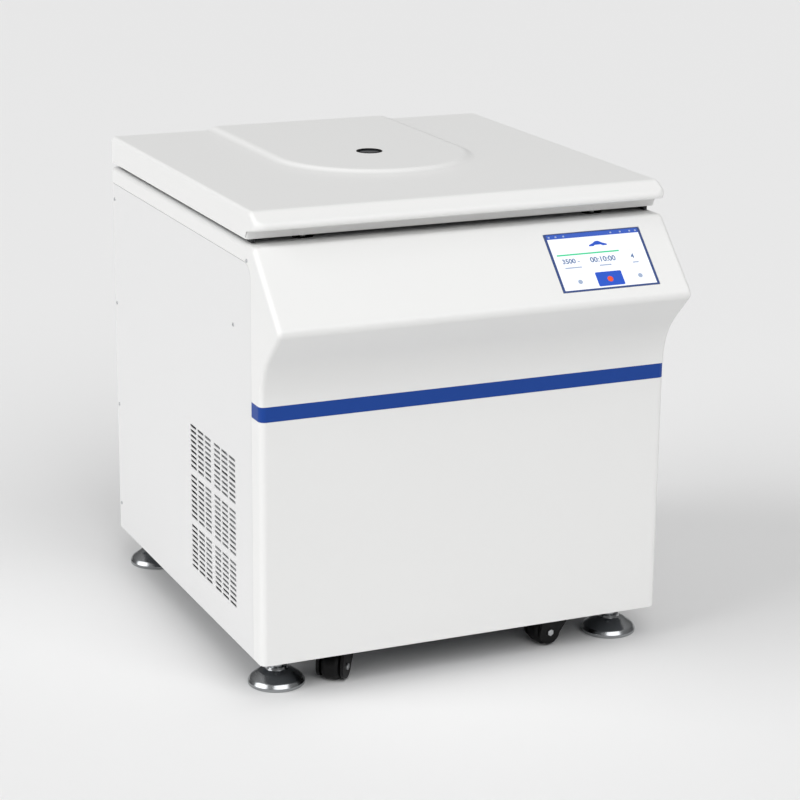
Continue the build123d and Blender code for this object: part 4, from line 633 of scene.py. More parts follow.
def on_slope(obj):
    """Move a piece drawn round the origin onto the console, flat side up."""
    obj.data.transform(SLOPE)
    obj.data.update()
    return obj


window = on_slope(box(
    "window", (-SCREEN_WIDTH / 2 - SNUG, -SCREEN_TALL / 2 - SNUG, -0.01),
    (SCREEN_WIDTH / 2 + SNUG, SCREEN_TALL / 2 + SNUG, 0.01),
))
combine(cover, window, "DIFFERENCE")
LOCK_X = 0.267
LOCK_Y = depth(0.085)
for side in (-1, 1):
    lock_hole = drawn("lock_hole", [
        (side * LOCK_X + u, LOCK_Y + v, BELOW_DECK) for u, v in stadium(0.006, 0.010, 12)
    ], (0, 0, 0.02))
    combine(cover, lock_hole, "DIFFERENCE")
    low_x, high_x = sorted((side * 0.313, side * 0.346))
    strut_slot = box(
        "strut_slot", (low_x, depth(0.662), BELOW_DECK), (high_x, depth(0.7505), ABOVE_DECK)
    )
    combine(cover, strut_slot, "DIFFERENCE")
dressed(cover, moulded_abs, "cabinet", "top_cover")

# %% [markdown]
# Below the stripe the front is a tall moulded skin that wraps 39.5 mm round each side, where the
# steel panels begin. The blue stripe is a separate moulding with the same section. Each is drawn
# in plan as a thick U with rounded corners and pushed upwards, and the edges at the joints are
# broken by half a millimetre, so that a fine line shows between the pieces.

# %% The lower front and the blue stripe
def wrap(name, low, high):
    """A U-shaped skin with rounded front corners, from one height to another."""
    outer = rounded([
        (HALF, depth(RETURN)), (HALF, FRONT), (-HALF, FRONT), (-HALF, depth(RETURN)),
    ], (0, 0.012, 0.012, 0), 8)
    inner = rounded([
        (-HALF + WALL, depth(RETURN)), (-HALF + WALL, FRONT + WALL), (HALF - WALL, FRONT + WALL),
        (HALF - WALL, depth(RETURN)),
    ], (0, 0.009, 0.009, 0), 8)
    obj = drawn(name, [(x, y, height(low)) for x, y in outer + inner], (0, 0, high - low))
    ends = (height(low), height(high))
    soften(obj, lambda e: all(min(abs(v.co.z - z) for z in ends) < 1e-6 for v in e.verts)
           and abs(e.verts[0].co.z - e.verts[1].co.z) < 1e-6, 0.0006, 2)
    return obj


front = wrap("front_moulding", 0.0, STRIPE_LOW)
dressed(front, moulded_abs, "cabinet", "front_panel")
stripe = wrap("blue_stripe", STRIPE_LOW, STRIPE_HIGH)
dressed(stripe, blue_abs, "cabinet", "front_stripe")

# %% [markdown]
# The side panels are single sheets of 1.5 mm steel, powder-coated on both faces. Their louvres
# are punched slots in six groups of three by nine, which let the condenser fan draw air in. All
# the slots of one side are joined into a single cutter, so each sheet is cut once.

# %% The side panels with their louvres
SHEET = 0.0015
GROUP_STEP = (0.122, 0.0929)
COLUMN_STEP, ROW_STEP = 0.0375, 0.0093


def slot_cutter(side):
    """The 162 slots of one side as one object of thin boxes with rounded ends."""
    x = side * (HALF - SHEET / 2)
    pattern = drawn("slot", [
        (x - 0.003, depth(0.1365) + u, height(0.326) + v) for u, v in stadium(0.0135, 0.0025, 4)
    ], (0.006, 0, 0))
    made = [
        copied(pattern, Matrix.Translation((
            0, group_y * GROUP_STEP[0] + column * COLUMN_STEP,
            -group_z * GROUP_STEP[1] - row * ROW_STEP,
        )))
        for group_y in range(2) for group_z in range(3) for column in range(3) for row in range(9)
    ]
    bpy.data.objects.remove(pattern)
    return joined("slots", made)


def side_panel(name, side, node):
    """One side sheet, with its slots and softly rolled outer edges."""
    front_y, top_z = RETURN + 0.001, SEAM - 0.001
    outline = rounded([
        (front_y, 0), (front_y, top_z), (CABINET_DEPTH, top_z), (CABINET_DEPTH, 0),
    ], (0, 0.026, 0, 0), 8)
    low = HALF - SHEET if side > 0 else -HALF
    sheet = side_drawn(name, outline, low, low + SHEET)
    soften(sheet, lambda e: all(abs(abs(v.co.x) - HALF) < 1e-6 for v in e.verts), 0.0006, 2)
    combine(sheet, slot_cutter(side), "DIFFERENCE")
    return dressed(sheet, powder_coat, "cabinet", node)


side_panel("left_sheet", -1, "left_side_panel")
side_panel("right_sheet", 1, "right_side_panel")

# %% [markdown]
# The console carries a touch screen: a bonded glass over a lit panel. What it shows is drawn as
# very thin plates, a tenth of a millimetre apart, so that each area keeps its own colour without
# an image. A lit panel gives off a little light of its own, so these finishes have some emission.

# %% Screen finishes
def lit(name, colour):
    """A colour of the lit screen under its glass."""
    made = finish_named(name, colour, Roughness=0.12, IOR=1.52, Emission_Strength=0.22)
    made.node_tree.nodes["Principled BSDF"].inputs["Emission Color"].default_value = linear(colour)
    return made


screen_glass = finish_named("bonded_screen_glass", "#3C5087", Roughness=0.14, IOR=1.52)
screen_white = lit("lit_white", "#F1F4F9")
screen_bar = lit("lit_bar_blue", "#3558B4")
screen_blue = lit("lit_button_blue", "#2250BC")
screen_green = lit("lit_progress_green", "#3CC98C")
screen_slate = lit("lit_digit_slate", "#56709A")
screen_faint = lit("lit_label_grey", "#98A7C0")
screen_line = lit("lit_faint_line", "#D9DFEA")
screen_orange = lit("lit_signal_orange", "#E4502C")

# %% [markdown]
# Places on the screen are given as shares of its width and height, from the top left corner. A
# plate is a thin box with rounded upright edges, drawn flat round the origin and then moved onto
# the slope. Numbers are text turned into a mesh, with the plain built-in font.

# %% The screen and what it shows
shown = []


def plate(name, left, top, right, low, level, material, corner=0.0):
    """A thin coloured plate on the screen, between shares of its width and height."""
    obj = box(
        name,
        (SCREEN_WIDTH * (left - 0.5), SCREEN_TALL * (0.5 - low), level * 0.0001 - 0.0002),
        (SCREEN_WIDTH * (right - 0.5), SCREEN_TALL * (0.5 - top), level * 0.0001),
    )
    if corner:
        soften(obj, lambda e: runs_along(e, 2, 1e-5), corner, 4)
    obj.data.materials.append(material)
    shown.append(obj)
    return obj


def disc(name, across, down, radius, level, material, sides=32):
    """A thin coloured disc on the screen."""
    x, y = SCREEN_WIDTH * (across - 0.5), SCREEN_TALL * (0.5 - down)
    obj = bar(name, radius, (x, y, level * 0.0001 - 0.0002), (x, y, level * 0.0001), sides)
    obj.data.materials.append(material)
    shown.append(obj)
    return obj


def text_mesh(words, size, thickness, swell=0.0):
    """Words as a mesh, centred on the origin, in the plain built-in font."""
    bpy.ops.object.select_all(action="DESELECT")
    bpy.ops.object.text_add(location=(0, 0, 0))
    obj = bpy.context.object
    obj.data.body = words
    obj.data.size = size
    obj.data.align_x = "CENTER"
    obj.data.align_y = "CENTER"
    obj.data.extrude = thickness
    obj.data.offset = swell
    bpy.ops.object.convert(target="MESH")
    return obj


def number(words, across, down, tall, level, material):
    """Digits on the screen, centred at a place, with a height in metres."""
    obj = text_mesh(words, tall / 0.7, 0.00005, 0.00025)
    place = (SCREEN_WIDTH * (across - 0.5), SCREEN_TALL * (0.5 - down), level * 0.0001)
    obj.data.transform(Matrix.Translation(place))
    obj.data.materials.clear()
    obj.data.materials.append(material)
    shown.append(obj)
    return obj


glass = box("touch_screen_glass", (-SCREEN_WIDTH / 2, -SCREEN_TALL / 2, -0.003),
            (SCREEN_WIDTH / 2, SCREEN_TALL / 2, 0))
soften(glass, lambda e: runs_along(e, 2, 1e-5), 0.003, 4)
soften(glass, lambda e: all(v.co.z > -1e-6 for v in e.verts), 0.0004, 2)
dressed(on_slope(glass), screen_glass, "cabinet", "touch_screen")

plate("shown_ground", 0.026, 0.02, 0.974, 0.968, 1, screen_white)
plate("shown_top_bar", 0.026, 0.02, 0.974, 0.093, 2, screen_bar)
for across in (0.05, 0.12, 0.2, 0.69, 0.79, 0.89, 0.95):
    plate("shown_icon", across - 0.009, 0.044, across + 0.009, 0.070, 3, screen_faint, 0.0008)
ROTOR_SIGN = (
    (0.425, 0.262), (0.425, 0.240), (0.468, 0.212), (0.50, 0.180), (0.534, 0.180), (0.566, 0.212),
    (0.61, 0.240), (0.61, 0.262), (0.565, 0.262), (0.548, 0.244), (0.486, 0.244), (0.469, 0.262),
)
roof = drawn("shown_rotor", [
    (SCREEN_WIDTH * (u - 0.5), SCREEN_TALL * (0.5 - v), 0.0001) for u, v in ROTOR_SIGN
], (0, 0, 0.0001))
roof.data.materials.append(screen_blue)
shown.append(roof)
plate("shown_rail", 0.065, 0.371, 0.936, 0.378, 2, screen_line)
plate("shown_progress", 0.065, 0.362, 0.707, 0.386, 3, screen_green)
number("3500", 0.165, 0.487, 0.0088, 3, screen_slate)
plate("shown_unit", 0.252, 0.49, 0.275, 0.505, 3, screen_faint, 0.0004)
plate("shown_label", 0.105, 0.585, 0.275, 0.604, 3, screen_faint, 0.0005)
number("00:10:00", 0.514, 0.494, 0.0098, 3, screen_slate)
plate("shown_label", 0.46, 0.585, 0.58, 0.604, 3, screen_faint, 0.0005)
number("4", 0.823, 0.49, 0.0088, 3, screen_slate)
plate("shown_label", 0.806, 0.583, 0.866, 0.602, 3, screen_faint, 0.0005)
for left, right in ((0.07, 0.35), (0.68, 0.95)):
    plate("shown_divider", left, 0.697, right, 0.703, 3, screen_line)
plate("shown_button", 0.381, 0.706, 0.65, 0.945, 3, screen_blue, 0.0022)
disc("shown_signal", 0.516, 0.834, 0.0052, 4, screen_orange)
disc("shown_key", 0.207, 0.838, 0.0042, 3, screen_faint)
disc("shown_key", 0.831, 0.823, 0.0042, 3, screen_faint)
for count, piece in enumerate(shown):
    piece.name = f"{piece.name.split('.')[0]}_{count}"
    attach(on_slope(piece), "cabinet")
print(len(shown), "areas shown on the screen")

# %% [markdown]
# Two pins hang from the lid and drop through black oval frames in the deck, where the lock bar
# catches their necks. A frame is an oval with a smaller oval cut out. The pins are lathe work:
# a half outline is turned round its axis with Spin.

# %% Lock frames and striker pins
def oval(name, x, y, long, wide, low, high):
    """An upright oval block: two half circles joined by straight sides."""
    outline = stadium((long - wide) / 2, wide / 2, 16)
    return drawn(name, [(x + u, y + v, height(low)) for u, v in outline], (0, 0, high - low))


FRAME_TOP = DECK + 0.0016
frames = []
for side in (-1, 1):
    x = side * LOCK_X
    outer = oval("lock_frame", x, LOCK_Y, 0.036, 0.024, DECK, FRAME_TOP)
    neck = oval("neck", x, LOCK_Y, 0.0314, 0.0194, DECK - 0.006, DECK + 0.0001)
    combine(outer, neck, "UNION")
    hole = oval("hole", x, LOCK_Y, 0.030, 0.018, DECK - 0.02, DECK + 0.02)
    combine(outer, hole, "DIFFERENCE")
    soften(outer, lambda e: all(v.co.z > height(FRAME_TOP) - 1e-6 for v in e.verts), 0.0006, 3)
    frames.append(outer)
dressed(joined("lock_frame", frames), black_nylon, "cabinet", "lock_bezels")

pins = []
for side in (-1, 1):
    low = height(LID_BOTTOM - 0.050)
    pin = turned("striker_pin", rounded([
        (0, 0), (0.0025, 0), (0.0045, 0.003), (0.0045, 0.0075), (0.0028, 0.0082), (0.0028, 0.0158),
        (0.0045, 0.0165), (0.0045, 0.0495), (0.0080, 0.0495), (0.0080, 0.0530), (0, 0.0530),
    ], (0, 0.0008, 0.0008, 0.0004, 0, 0, 0.0004, 0, 0, 0, 0), 3), (side * LOCK_X, LOCK_Y, low), 32)
    pins.append(pin)
satin_nickel = finish_named("satin_nickel_on_steel", "#F0F0EE", Metallic=1.0, Roughness=0.5)
dressed(joined("striker_pin", pins), satin_nickel, "lid", "lid_strikers")

# %% [markdown]
# A small window in the lid's plateau lets the user check the rotor with a strobe lamp. Its black
# sleeve has a thin flange that sits on the plateau, and two discs of polycarbonate close it. From
# outside it looks nearly black, because the chamber below is dark.

# %% The viewing port
top = LID_TOP + RISE
port_low = LID_BOTTOM - 0.012
sleeve = turned("port_sleeve", rounded([
    (0.017, port_low), (0.022, port_low), (0.022, top), (0.0236, top), (0.0236, top + 0.001),
    (0.020, top + 0.001), (0.020, port_low + 0.008), (0.017, port_low + 0.008),
], (0, 0, 0, 0, 0.0007, 0.0003, 0, 0), 3), (0, ROTOR_Y, height(0)), 96)
dressed(sleeve, black_nylon, "lid", "port_tube")
panes = []
for low, high in ((top - 0.006, top - 0.001), (port_low + 0.008, port_low + 0.012)):
    panes.append(turned("port_pane", rounded([
        (0, low), (0.0199, low), (0.0199, high), (0, high),
    ], (0, 0.0003, 0.0005, 0), 2), (0, ROTOR_Y, height(0)), 64))
dressed(joined("port_pane", panes), smoked_glass, "lid", "viewing_windows")

# %% [markdown]
# Rubber closes two gaps, and dark rubber paints shade into a third. A square strip under the lid
# keeps dust off the deck, and a moulded ring on the deck's mouth seals the cold chamber against the
# lid. A straight dark strip beside each end is painted shadow: it darkens the gap below the lid's
# edge, which is dark only from shade. The square strip is a rounded rectangle with its middle cut
# out, and the ring is turned from its lip section.

# %% Lid strip and chamber ring
def ring_plan(name, half, front, rear, corner, low, high):
    """A block whose plan is a rectangle with rounded corners."""
    plan = rounded([
        (-half, depth(front)), (half, depth(front)), (half, depth(rear)), (-half, depth(rear)),
    ], (corner,) * 4, 6)
    return drawn(name, [(x, y, height(low)) for x, y in plan], (0, 0, high - low))


strip = ring_plan("lid_strip", 0.305, 0.105, 0.769, 0.009, DECK + SNUG, LID_BOTTOM)
inner = ring_plan("inner", 0.295, 0.115, 0.759, 0.004, DECK - 0.01, LID_BOTTOM + 0.01)
combine(strip, inner, "DIFFERENCE")
soften(strip, lambda e: all(v.co.z < height(DECK + SNUG) + 1e-6 for v in e.verts), 0.0015, 3)
dressed(strip, dark_rubber, "lid", "lid_gasket")
# Painted shadow: a thin strip of dark rubber beside each end of the lid darkens the gap below its
# edge, where there is only shade.
SHADE_STRIP_X, SHADE_STRIP_HALF = 0.361, 0.003
for side, word in ((-1, "left"), (1, "right")):
    x = side * SHADE_STRIP_X
    edge = box(
        "lid_edge_strip_" + word, (x - SHADE_STRIP_HALF, depth(0.064), height(DECK + 0.0006)),
        (x + SHADE_STRIP_HALF, depth(0.757), height(LID_BOTTOM)),
    )
    soften(edge, lambda e: all(v.co.z < height(DECK + 0.001) for v in e.verts), 0.001, 3)
    dressed(edge, dark_rubber, "lid")
lip = turned("chamber_ring", rounded([
    (0.250, DECK - WALL), (0.2577, DECK - WALL), (0.2577, DECK), (0.266, DECK), (0.266, DECK + 0.003),
    (0.259, LID_BOTTOM - SNUG), (0.254, LID_BOTTOM - SNUG), (0.250, DECK + 0.002),
], (0, 0, 0, 0.0003, 0.0015, 0.0015, 0.0015, 0.0015), 4), (0, ROTOR_Y, height(0)), 128)
dressed(lip, dark_rubber, "cabinet", "chamber_seal")

# %% [markdown]
# Each levelling foot is a pressed and chromed bell on a threaded stem, locked by a hexagon nut.
# The bell is a section turned round the stem. A thread is too fine to follow as a helix here, so
# the stem is turned with one small groove per 2 mm of pitch, which looks the same from outside.

# %% Levelling feet
FOOT_PLACES = {
    "front_left": (-0.321, depth(0.074)), "front_right": (0.321, depth(0.074)),
    "rear_left": (-0.321, BACK - 0.051), "rear_right": (0.321, BACK - 0.051),
}


def thread(low, high, pitch=0.002, radius=0.008, groove=0.0009):
    """Half outline of a threaded length: a zigzag of radii and heights."""
    count = int((high - low) / pitch)
    return [
        (radius - groove * (i % 2), low + i * pitch / 2) for i in range(2 * count + 1)
    ]


def levelling_foot(place):
    """One bell, stem and nut as a single piece."""
    x, y = FOOT_PLACES[place]
    section = rounded([
        (0, 0), (0.0475, 0), (0.049, 0.0015), (0.049, 0.0060), (0.0450, 0.0125), (0.0300, 0.0235),
        (0.0195, 0.0275), (0.0180, 0.0325), (0.0130, 0.0325), (0.0130, 0.0370), (0, 0.0370),
    ], (0, 0.0007, 0.0007, 0.0020, 0.0120, 0.0140, 0.0030, 0.0010, 0.0005, 0.0012, 0), 5)
    bell = turned("foot_" + place, section, (x, y, 0), 96)
    stem = turned("stem", [(0, 0.037), *thread(0.037, 0.115), (0, 0.115)], (x, y, 0), 32)
    bpy.ops.object.select_all(action="DESELECT")
    bpy.ops.mesh.primitive_cylinder_add(vertices=6, radius=0.013, depth=0.010, location=(x, y, 0.047))
    nut = bpy.context.object
    bpy.ops.object.transform_apply(location=True)
    trim = turned("trim", [
        (0, 0.0415), (0.0118, 0.0415), (0.0135, 0.0428), (0.0135, 0.0512), (0.0118, 0.0525),
        (0, 0.0525),
    ], (x, y, 0), 48)
    combine(nut, trim, "INTERSECT")
    foot = joined("foot_" + place, [bell, stem, nut])
    return dressed(foot, chrome_plate, "levelling_foot_" + place, "levelling_foot_" + place)


for place in FOOT_PLACES:
    levelling_foot(place)

# %% [markdown]
# Four casters carry the machine while it is moved: two swivel at the front, and two are fixed at
# the back. A caster is built once, standing at the origin with its wheel trailing along X, and a
# copy of each piece is turned and moved to its place. The forks are pressed steel with black
# enamel, the wheels are nylon with a rounded tread, and the axle bolts are bright zinc.

# %% Caster pieces at the origin
TRAIL = 0.026
AXLE_HEIGHT = 0.026
FORK_TOP = 0.0577
CHEEK_IN = 0.0192
CHEEK_OUT = 0.0252
CHEEK_ROUND = 0.0215
BOLT_HEAD = 0.0025


def cheek(low, high):
    """One side of the fork: a plate that covers most of the wheel's side."""
    around = [
        (TRAIL + CHEEK_ROUND * cos(radians(a)), AXLE_HEIGHT + CHEEK_ROUND * sin(radians(a)))
        for a in range(190, 381, 10)
    ]
    outline = [
        (-0.019, FORK_TOP), (-0.019, FORK_TOP - 0.006), *around,
        (0.042, FORK_TOP - 0.006), (0.038, FORK_TOP),
    ]
    obj = drawn("cheek", [(x, low, z) for x, z in outline], (0, high - low, 0))
    soften(obj, lambda e: not runs_along(e, 1, 1e-6), 0.0008, 2)
    return obj


def fork_piece(name, swivel):
    """Both cheeks, the head disc with its ball race and, on a swivel, the kingpin."""
    top = 0.0617 if swivel else 0.062
    disc_outline = rounded([
        (0, FORK_TOP - 0.001), (0.0232, FORK_TOP - 0.001), (0.0232, FORK_TOP + 0.0012),
        (0.0205, FORK_TOP + 0.0022), (0.0205, top), (0, top),
    ], (0, 0.0008, 0.0006, 0.0004, 0.0004, 0), 3)
    parts = [cheek(CHEEK_IN, CHEEK_OUT), cheek(-CHEEK_OUT, -CHEEK_IN)]
    parts.append(turned("head", disc_outline, steps=48))
    if swivel:
        parts.append(bar("kingpin", 0.005, (0, 0, FORK_TOP), (0, 0, 0.074)))
        parts.append(bar("pin_nut", 0.009, (0, 0, 0.0683), (0, 0, 0.074), 6))
    return joined(name, parts)


def bolt_piece(name):
    """The axle with a domed hexagon head at each end."""
    axle_ends = [(TRAIL, y, AXLE_HEIGHT) for y in (-CHEEK_OUT, CHEEK_OUT)]
    parts = [bar(name, 0.0039, *axle_ends, 24)]
    for side in (-1, 1):
        outer = side * (CHEEK_OUT + BOLT_HEAD)
        head = bar(
            "head", 0.0064, (TRAIL, side * CHEEK_OUT, AXLE_HEIGHT), (TRAIL, outer, AXLE_HEIGHT), 6
        )
        soften(head, lambda e: all(abs(v.co.y - outer) < 1e-6 for v in e.verts), 0.0007, 3)
        parts.append(head)
    return joined(name, parts)


def wheel_piece(name):
    """A wide wheel with a rounded tread and a raised hub, turned upright and laid on its side."""
    half = [(0.00405, 0.018), (0.010, 0.018), (0.0115, 0.016), (0.0185, 0.016), (0.0215, 0.0150),
            (0.025, 0.0105)]
    outline = half + [(r, -h) for r, h in reversed(half)]
    radii = [0, 0.0006, 0.001, 0.001, 0.003, 0.007]
    wheel = turned(name, rounded(outline, radii + radii[::-1], 5), steps=72)
    wheel.data.transform(
        Matrix.Translation((TRAIL, 0, AXLE_HEIGHT)) @ Matrix.Rotation(pi / 2, 4, "X")
    )
    return wheel


CASTER_PLACES = {
    "front_left": (-0.208, depth(0.070), 228.0), "front_right": (0.208, depth(0.070), 190.0),
    "rear_left": (-0.208, BACK - 0.103, 90.0), "rear_right": (0.208, BACK - 0.103, 90.0),
}

# %% [markdown]
# The rear forks belong to the cabinet together with the four top plates, so they are joined into
# one piece. Each front fork is a body of its own that swivels, and every wheel rolls.

# %% Put the casters in their places
mount_parts = []
rear_bolts = []
for place, (x, y, angle) in CASTER_PLACES.items():
    turn = Matrix.Translation((x, y, 0)) @ Matrix.Rotation(radians(angle), 4, "Z")
    top_plate = box("caster_plates", (x - 0.030, y - 0.030, 0.062), (x + 0.030, y + 0.030, 0.065))
    soften(top_plate, lambda e: runs_along(e, 2), 0.004, 4)
    mount_parts.append(top_plate)
    fork = fork_piece("fork_" + place, place.startswith("front"))
    bolt = bolt_piece("axle_bolt_" + place)
    wheel = wheel_piece("wheel_" + place)
    for part in (fork, bolt, wheel):
        part.data.transform(turn)
    end, side = place.split("_")
    if end == "front":
        dressed(fork, black_enamel, "caster_fork_" + side, "caster_fork_" + side)
        dressed(bolt, zinc_plate, "caster_fork_" + side)
    else:
        mount_parts.append(fork)
        rear_bolts.append(bolt)
    dressed(wheel, black_nylon, f"{end}_wheel_{side}", f"{end}_wheel_{side}")
dressed(joined("caster_plates", mount_parts), black_enamel, "cabinet", "caster_mounts")
for bolt in rear_bolts:
    dressed(bolt, zinc_plate, "cabinet")

# %% [markdown]
# Pan-head screws hold the side panels and the cover's flanges. One screw is turned with a domed
# head, its cross recess is cut, and copies are laid against both sides.

# %% Panel screws
def screw(name):
    """A pan-head screw along Z with its face at the top and its seat at height 0."""
    head = turned(name, rounded([
        (0, -0.008), (0.002, -0.008), (0.002, 0), (0.0032, 0), (0.0032, 0.0014), (0, 0.0014),
    ], (0, 0.0004, 0, 0, 0.0009, 0), 4), steps=24)
    for size in ((0.0017, 0.0004), (0.0004, 0.0017)):
        cross = box("cross", (-size[0], -size[1], 0.0006), (size[0], size[1], 0.003))
        combine(head, cross, "DIFFERENCE")
    return head


SCREW_PLACES = [(BACK - 0.012, z) for z in (0.115, 0.31433, 0.51367, 0.713)]
SCREW_PLACES += [(depth(0.12260), 0.6247), (depth(0.056), 0.7465)]
pattern = screw("panel_screw_set")
copies = []
for side in (-1, 1):
    lay = Matrix.Rotation(side * pi / 2, 4, "Y")
    for y, z in SCREW_PLACES:
        copies.append(copied(pattern, Matrix.Translation((side * HALF, y, z)) @ lay))
bpy.data.objects.remove(pattern)
dressed(joined("panel_screw_set", copies), zinc_plate, "cabinet", "panel_screws")

# %% [markdown]
# Under the lid is the chamber. The bowl is deep-drawn from stainless steel and brushed as it
# turns, so its fine lines run round it. The section is turned round the drive axis with 128
# steps, and a relief with very flat waves that follow the height draws the brushing.

# %% The chamber bowl
def brushed_round(name, colour, roughness):
    """Stainless steel brushed round and round: relief lines that follow the height."""
    made = finish_named(name, colour, Metallic=1.0, Roughness=roughness)
    return grained(made, 0.0016, 0.00001, detail=3.0, stretch=(0.03, 0.03, 1.0))


bowl_steel = brushed_round("brushed_stainless_bowl", "#B9BBBD", 0.30)
FLOOR_OF_BOWL = DECK - WALL - 0.262
bowl = turned("steel_bowl", rounded([
    (0.032, FLOOR_OF_BOWL), (0.250, FLOOR_OF_BOWL), (0.250, DECK - WALL), (0.272, DECK - WALL),
    (0.272, DECK - WALL - 0.002), (0.252, DECK - WALL - 0.002), (0.252, FLOOR_OF_BOWL - 0.002),
    (0.032, FLOOR_OF_BOWL - 0.002),
], (0.0006, 0.040, 0.0006, 0, 0, 0, 0.042, 0.0006), 12), (0, ROTOR_Y, height(0)), 128)
dressed(bowl, bowl_steel, "cabinet", "chamber_bowl", angle=40)

# %% [markdown]
# The rotor is a yoke with four arms, milled from one block of aluminium and anodised. Its hub is
# turned. One arm is drawn in plan, with a broad head whose two inner faces carry the bucket pins
# and a hole that saves weight. Four copies of it, a quarter turn apart, are joined to the hub.

# %% The rotor head
PIN_HEIGHT = height(DECK - 0.124)
REACH = 0.145
FACE = 0.057
TIP = 0.162
ARM_HALF = 0.012
SHAFT_BORE = 0.01205


def yoke_arm():
    """One arm at 45 degrees, round the origin, with its edges broken."""
    half = 0.0283
    web = drawn("web", [
        ((a - b) / sqrt(2), (a + b) / sqrt(2), -ARM_HALF)
        for a, b in ((0, -half), (0.102, -half), (0.102, half), (0, half))
    ], (0, 0, 2 * ARM_HALF))
    head = rounded([
        (FACE, FACE), (TIP, FACE), (TIP, FACE + 0.028), (FACE + 0.028, TIP), (FACE, TIP),
    ], (0, 0.004, 0.006, 0.006, 0.004), 5)
    arm = drawn("arm", [(x, y, -ARM_HALF) for x, y in head], (0, 0, 2 * ARM_HALF))
    combine(arm, web, "UNION")
    hole = bar("hole", 0.019, (0.099, 0.099, -0.02), (0.099, 0.099, 0.02), 48)
    combine(arm, hole, "DIFFERENCE")
    soften(
        arm,
        lambda e: not runs_along(e, 2, 1e-6) and abs(abs(e.verts[0].co.z) - ARM_HALF) < 1e-6
        and middle_of(e).xy.length > 0.05 and len(e.link_faces) == 2
        and abs(e.link_faces[0].normal.dot(e.link_faces[1].normal)) < 0.1,
        0.0008, 2,
    )
    return arm


rotor = turned("swing_rotor", rounded([
    (SHAFT_BORE, -0.024), (0.034, -0.024), (0.042, -ARM_HALF), (0.042, ARM_HALF), (0.032, 0.024),
    (SHAFT_BORE, 0.024),
], (0, 0.002, 0.002, 0.002, 0.002, 0.0008), 4), steps=96)
arm = yoke_arm()
for i in range(4):
    combine(rotor, copied(arm, Matrix.Rotation(i * pi / 2, 4, "Z")), "UNION")
bpy.data.objects.remove(arm)
bore = bar("bore", SHAFT_BORE, (0, 0, -0.05), (0, 0, 0.05), 96)
combine(rotor, bore, "DIFFERENCE")
pins = [rotor]
for i in range(4):
    for near, far in (((0.145, 0.0575), (0.145, 0.046)), ((0.0575, 0.145), (0.046, 0.145))):
        pin = bar("pin", 0.005, (*near, 0), (*far, 0), 32)
        soften(pin, lambda e: all(min(abs(v.co.x), abs(v.co.y)) < 0.0461 for v in e.verts), 0.0008, 3)
        pin.data.transform(Matrix.Rotation(i * pi / 2, 4, "Z"))
        pins.append(pin)
joined("swing_rotor", pins)
rotor.data.transform(Matrix.Translation((0, ROTOR_Y, PIN_HEIGHT)))
dressed(rotor, milled_aluminium, "rotor", "rotor_head")

# %% [markdown]
# The knob that holds the rotor down is turned and then fluted, so that a gloved hand can grip
# it. Twelve round bars cut the flutes, and the top keeps a shallow dish.

# %% The rotor knob
knob_low = PIN_HEIGHT + 0.024 + SNUG
knob = turned("rotor_knob_top", rounded([
    (0.0125, 0), (0.020, 0), (0.024, 0.006), (0.024, 0.024), (0.020, 0.028), (0.015, 0.028),
    (0.013, 0.0262), (0, 0.0262), (0, 0.022), (0.006, 0.022), (0.006, 0.005), (0.0125, 0.0003),
], (0, 0.001, 0.002, 0.002, 0.0015, 0.0006, 0.0008, 0, 0, 0, 0, 0), 4), (0, ROTOR_Y, knob_low), 96)
for i in range(12):
    a = radians(30 * i)
    x, y = 0.0255 * cos(a), ROTOR_Y + 0.0255 * sin(a)
    flute = bar("flute", 0.003, (x, y, knob_low - 0.001), (x, y, knob_low + 0.03), 16)
    combine(knob, flute, "DIFFERENCE")
dressed(knob, black_aluminium, "rotor_knob", "rotor_knob")

# %% [markdown]
# The swing buckets are turned cups with two slotted lugs that hang on the yoke's pins. One is
# made standing at its place on the X axis, with its number printed on the side that faces the
# hub, and the other three are made the same way, a quarter turn on. Real rotors number their
# buckets so that the loads can be balanced.

# %% The four buckets
HOOK = 0.00505


def swing_bucket(index):
    """One cup with its lugs, on its arm's end, carrying its own number."""
    cup = turned(f"swing_bucket_{index + 1}", rounded([
        (0, -0.095), (0.045, -0.095), (0.045, 0.016), (0.047, 0.016), (0.047, 0.022), (0.042, 0.022),
        (0.042, -0.091), (0, -0.091),
    ], (0, 0.010, 0, 0.0006, 0.0010, 0.0010, 0.008, 0), 5), (REACH, 0, 0), 64)
    for side in (-1, 1):
        ys = sorted((side * 0.0435, side * 0.051))
        lug = box("lug", (REACH - 0.013, ys[0], -0.016), (REACH + 0.013, ys[1], 0.016))
        soften(lug, lambda e: runs_along(e, 1), 0.003, 4)
        combine(cup, lug, "UNION")
        ys = sorted((side * 0.0457, side * 0.052))
        hook = bar("hook", HOOK, (REACH, ys[0], 0), (REACH, ys[1], 0), 32)
        slot = box("slot", (REACH - HOOK, ys[0], -0.020), (REACH + HOOK, ys[1], 0))
        combine(hook, slot, "UNION")
        combine(cup, hook, "DIFFERENCE")
    digit = text_mesh(str(index + 1), 0.014, 0.0002)
    face = Matrix.Translation((REACH - 0.0450, 0, 0.004)) @ Matrix.Rotation(-pi / 2, 4, "Z")
    digit.data.transform(face @ Matrix.Rotation(pi / 2, 4, "X"))
    digit.name = f"bucket_number_{index + 1}"
    place = Matrix.Translation((0, ROTOR_Y, PIN_HEIGHT)) @ Matrix.Rotation(index * pi / 2, 4, "Z")
    for part in (cup, digit):
        part.data.transform(place)
    body = f"bucket_{index + 1}"
    dressed(cup, milled_aluminium, body, body)
    dressed(digit, black_enamel, body)


for index in range(4):
    swing_bucket(index)

# %% [markdown]
# The lid is closed from below by a stainless sheet, with an insulated dish that reaches into the
# chamber's mouth. Two brackets on it carry the upper ends of the gas struts.

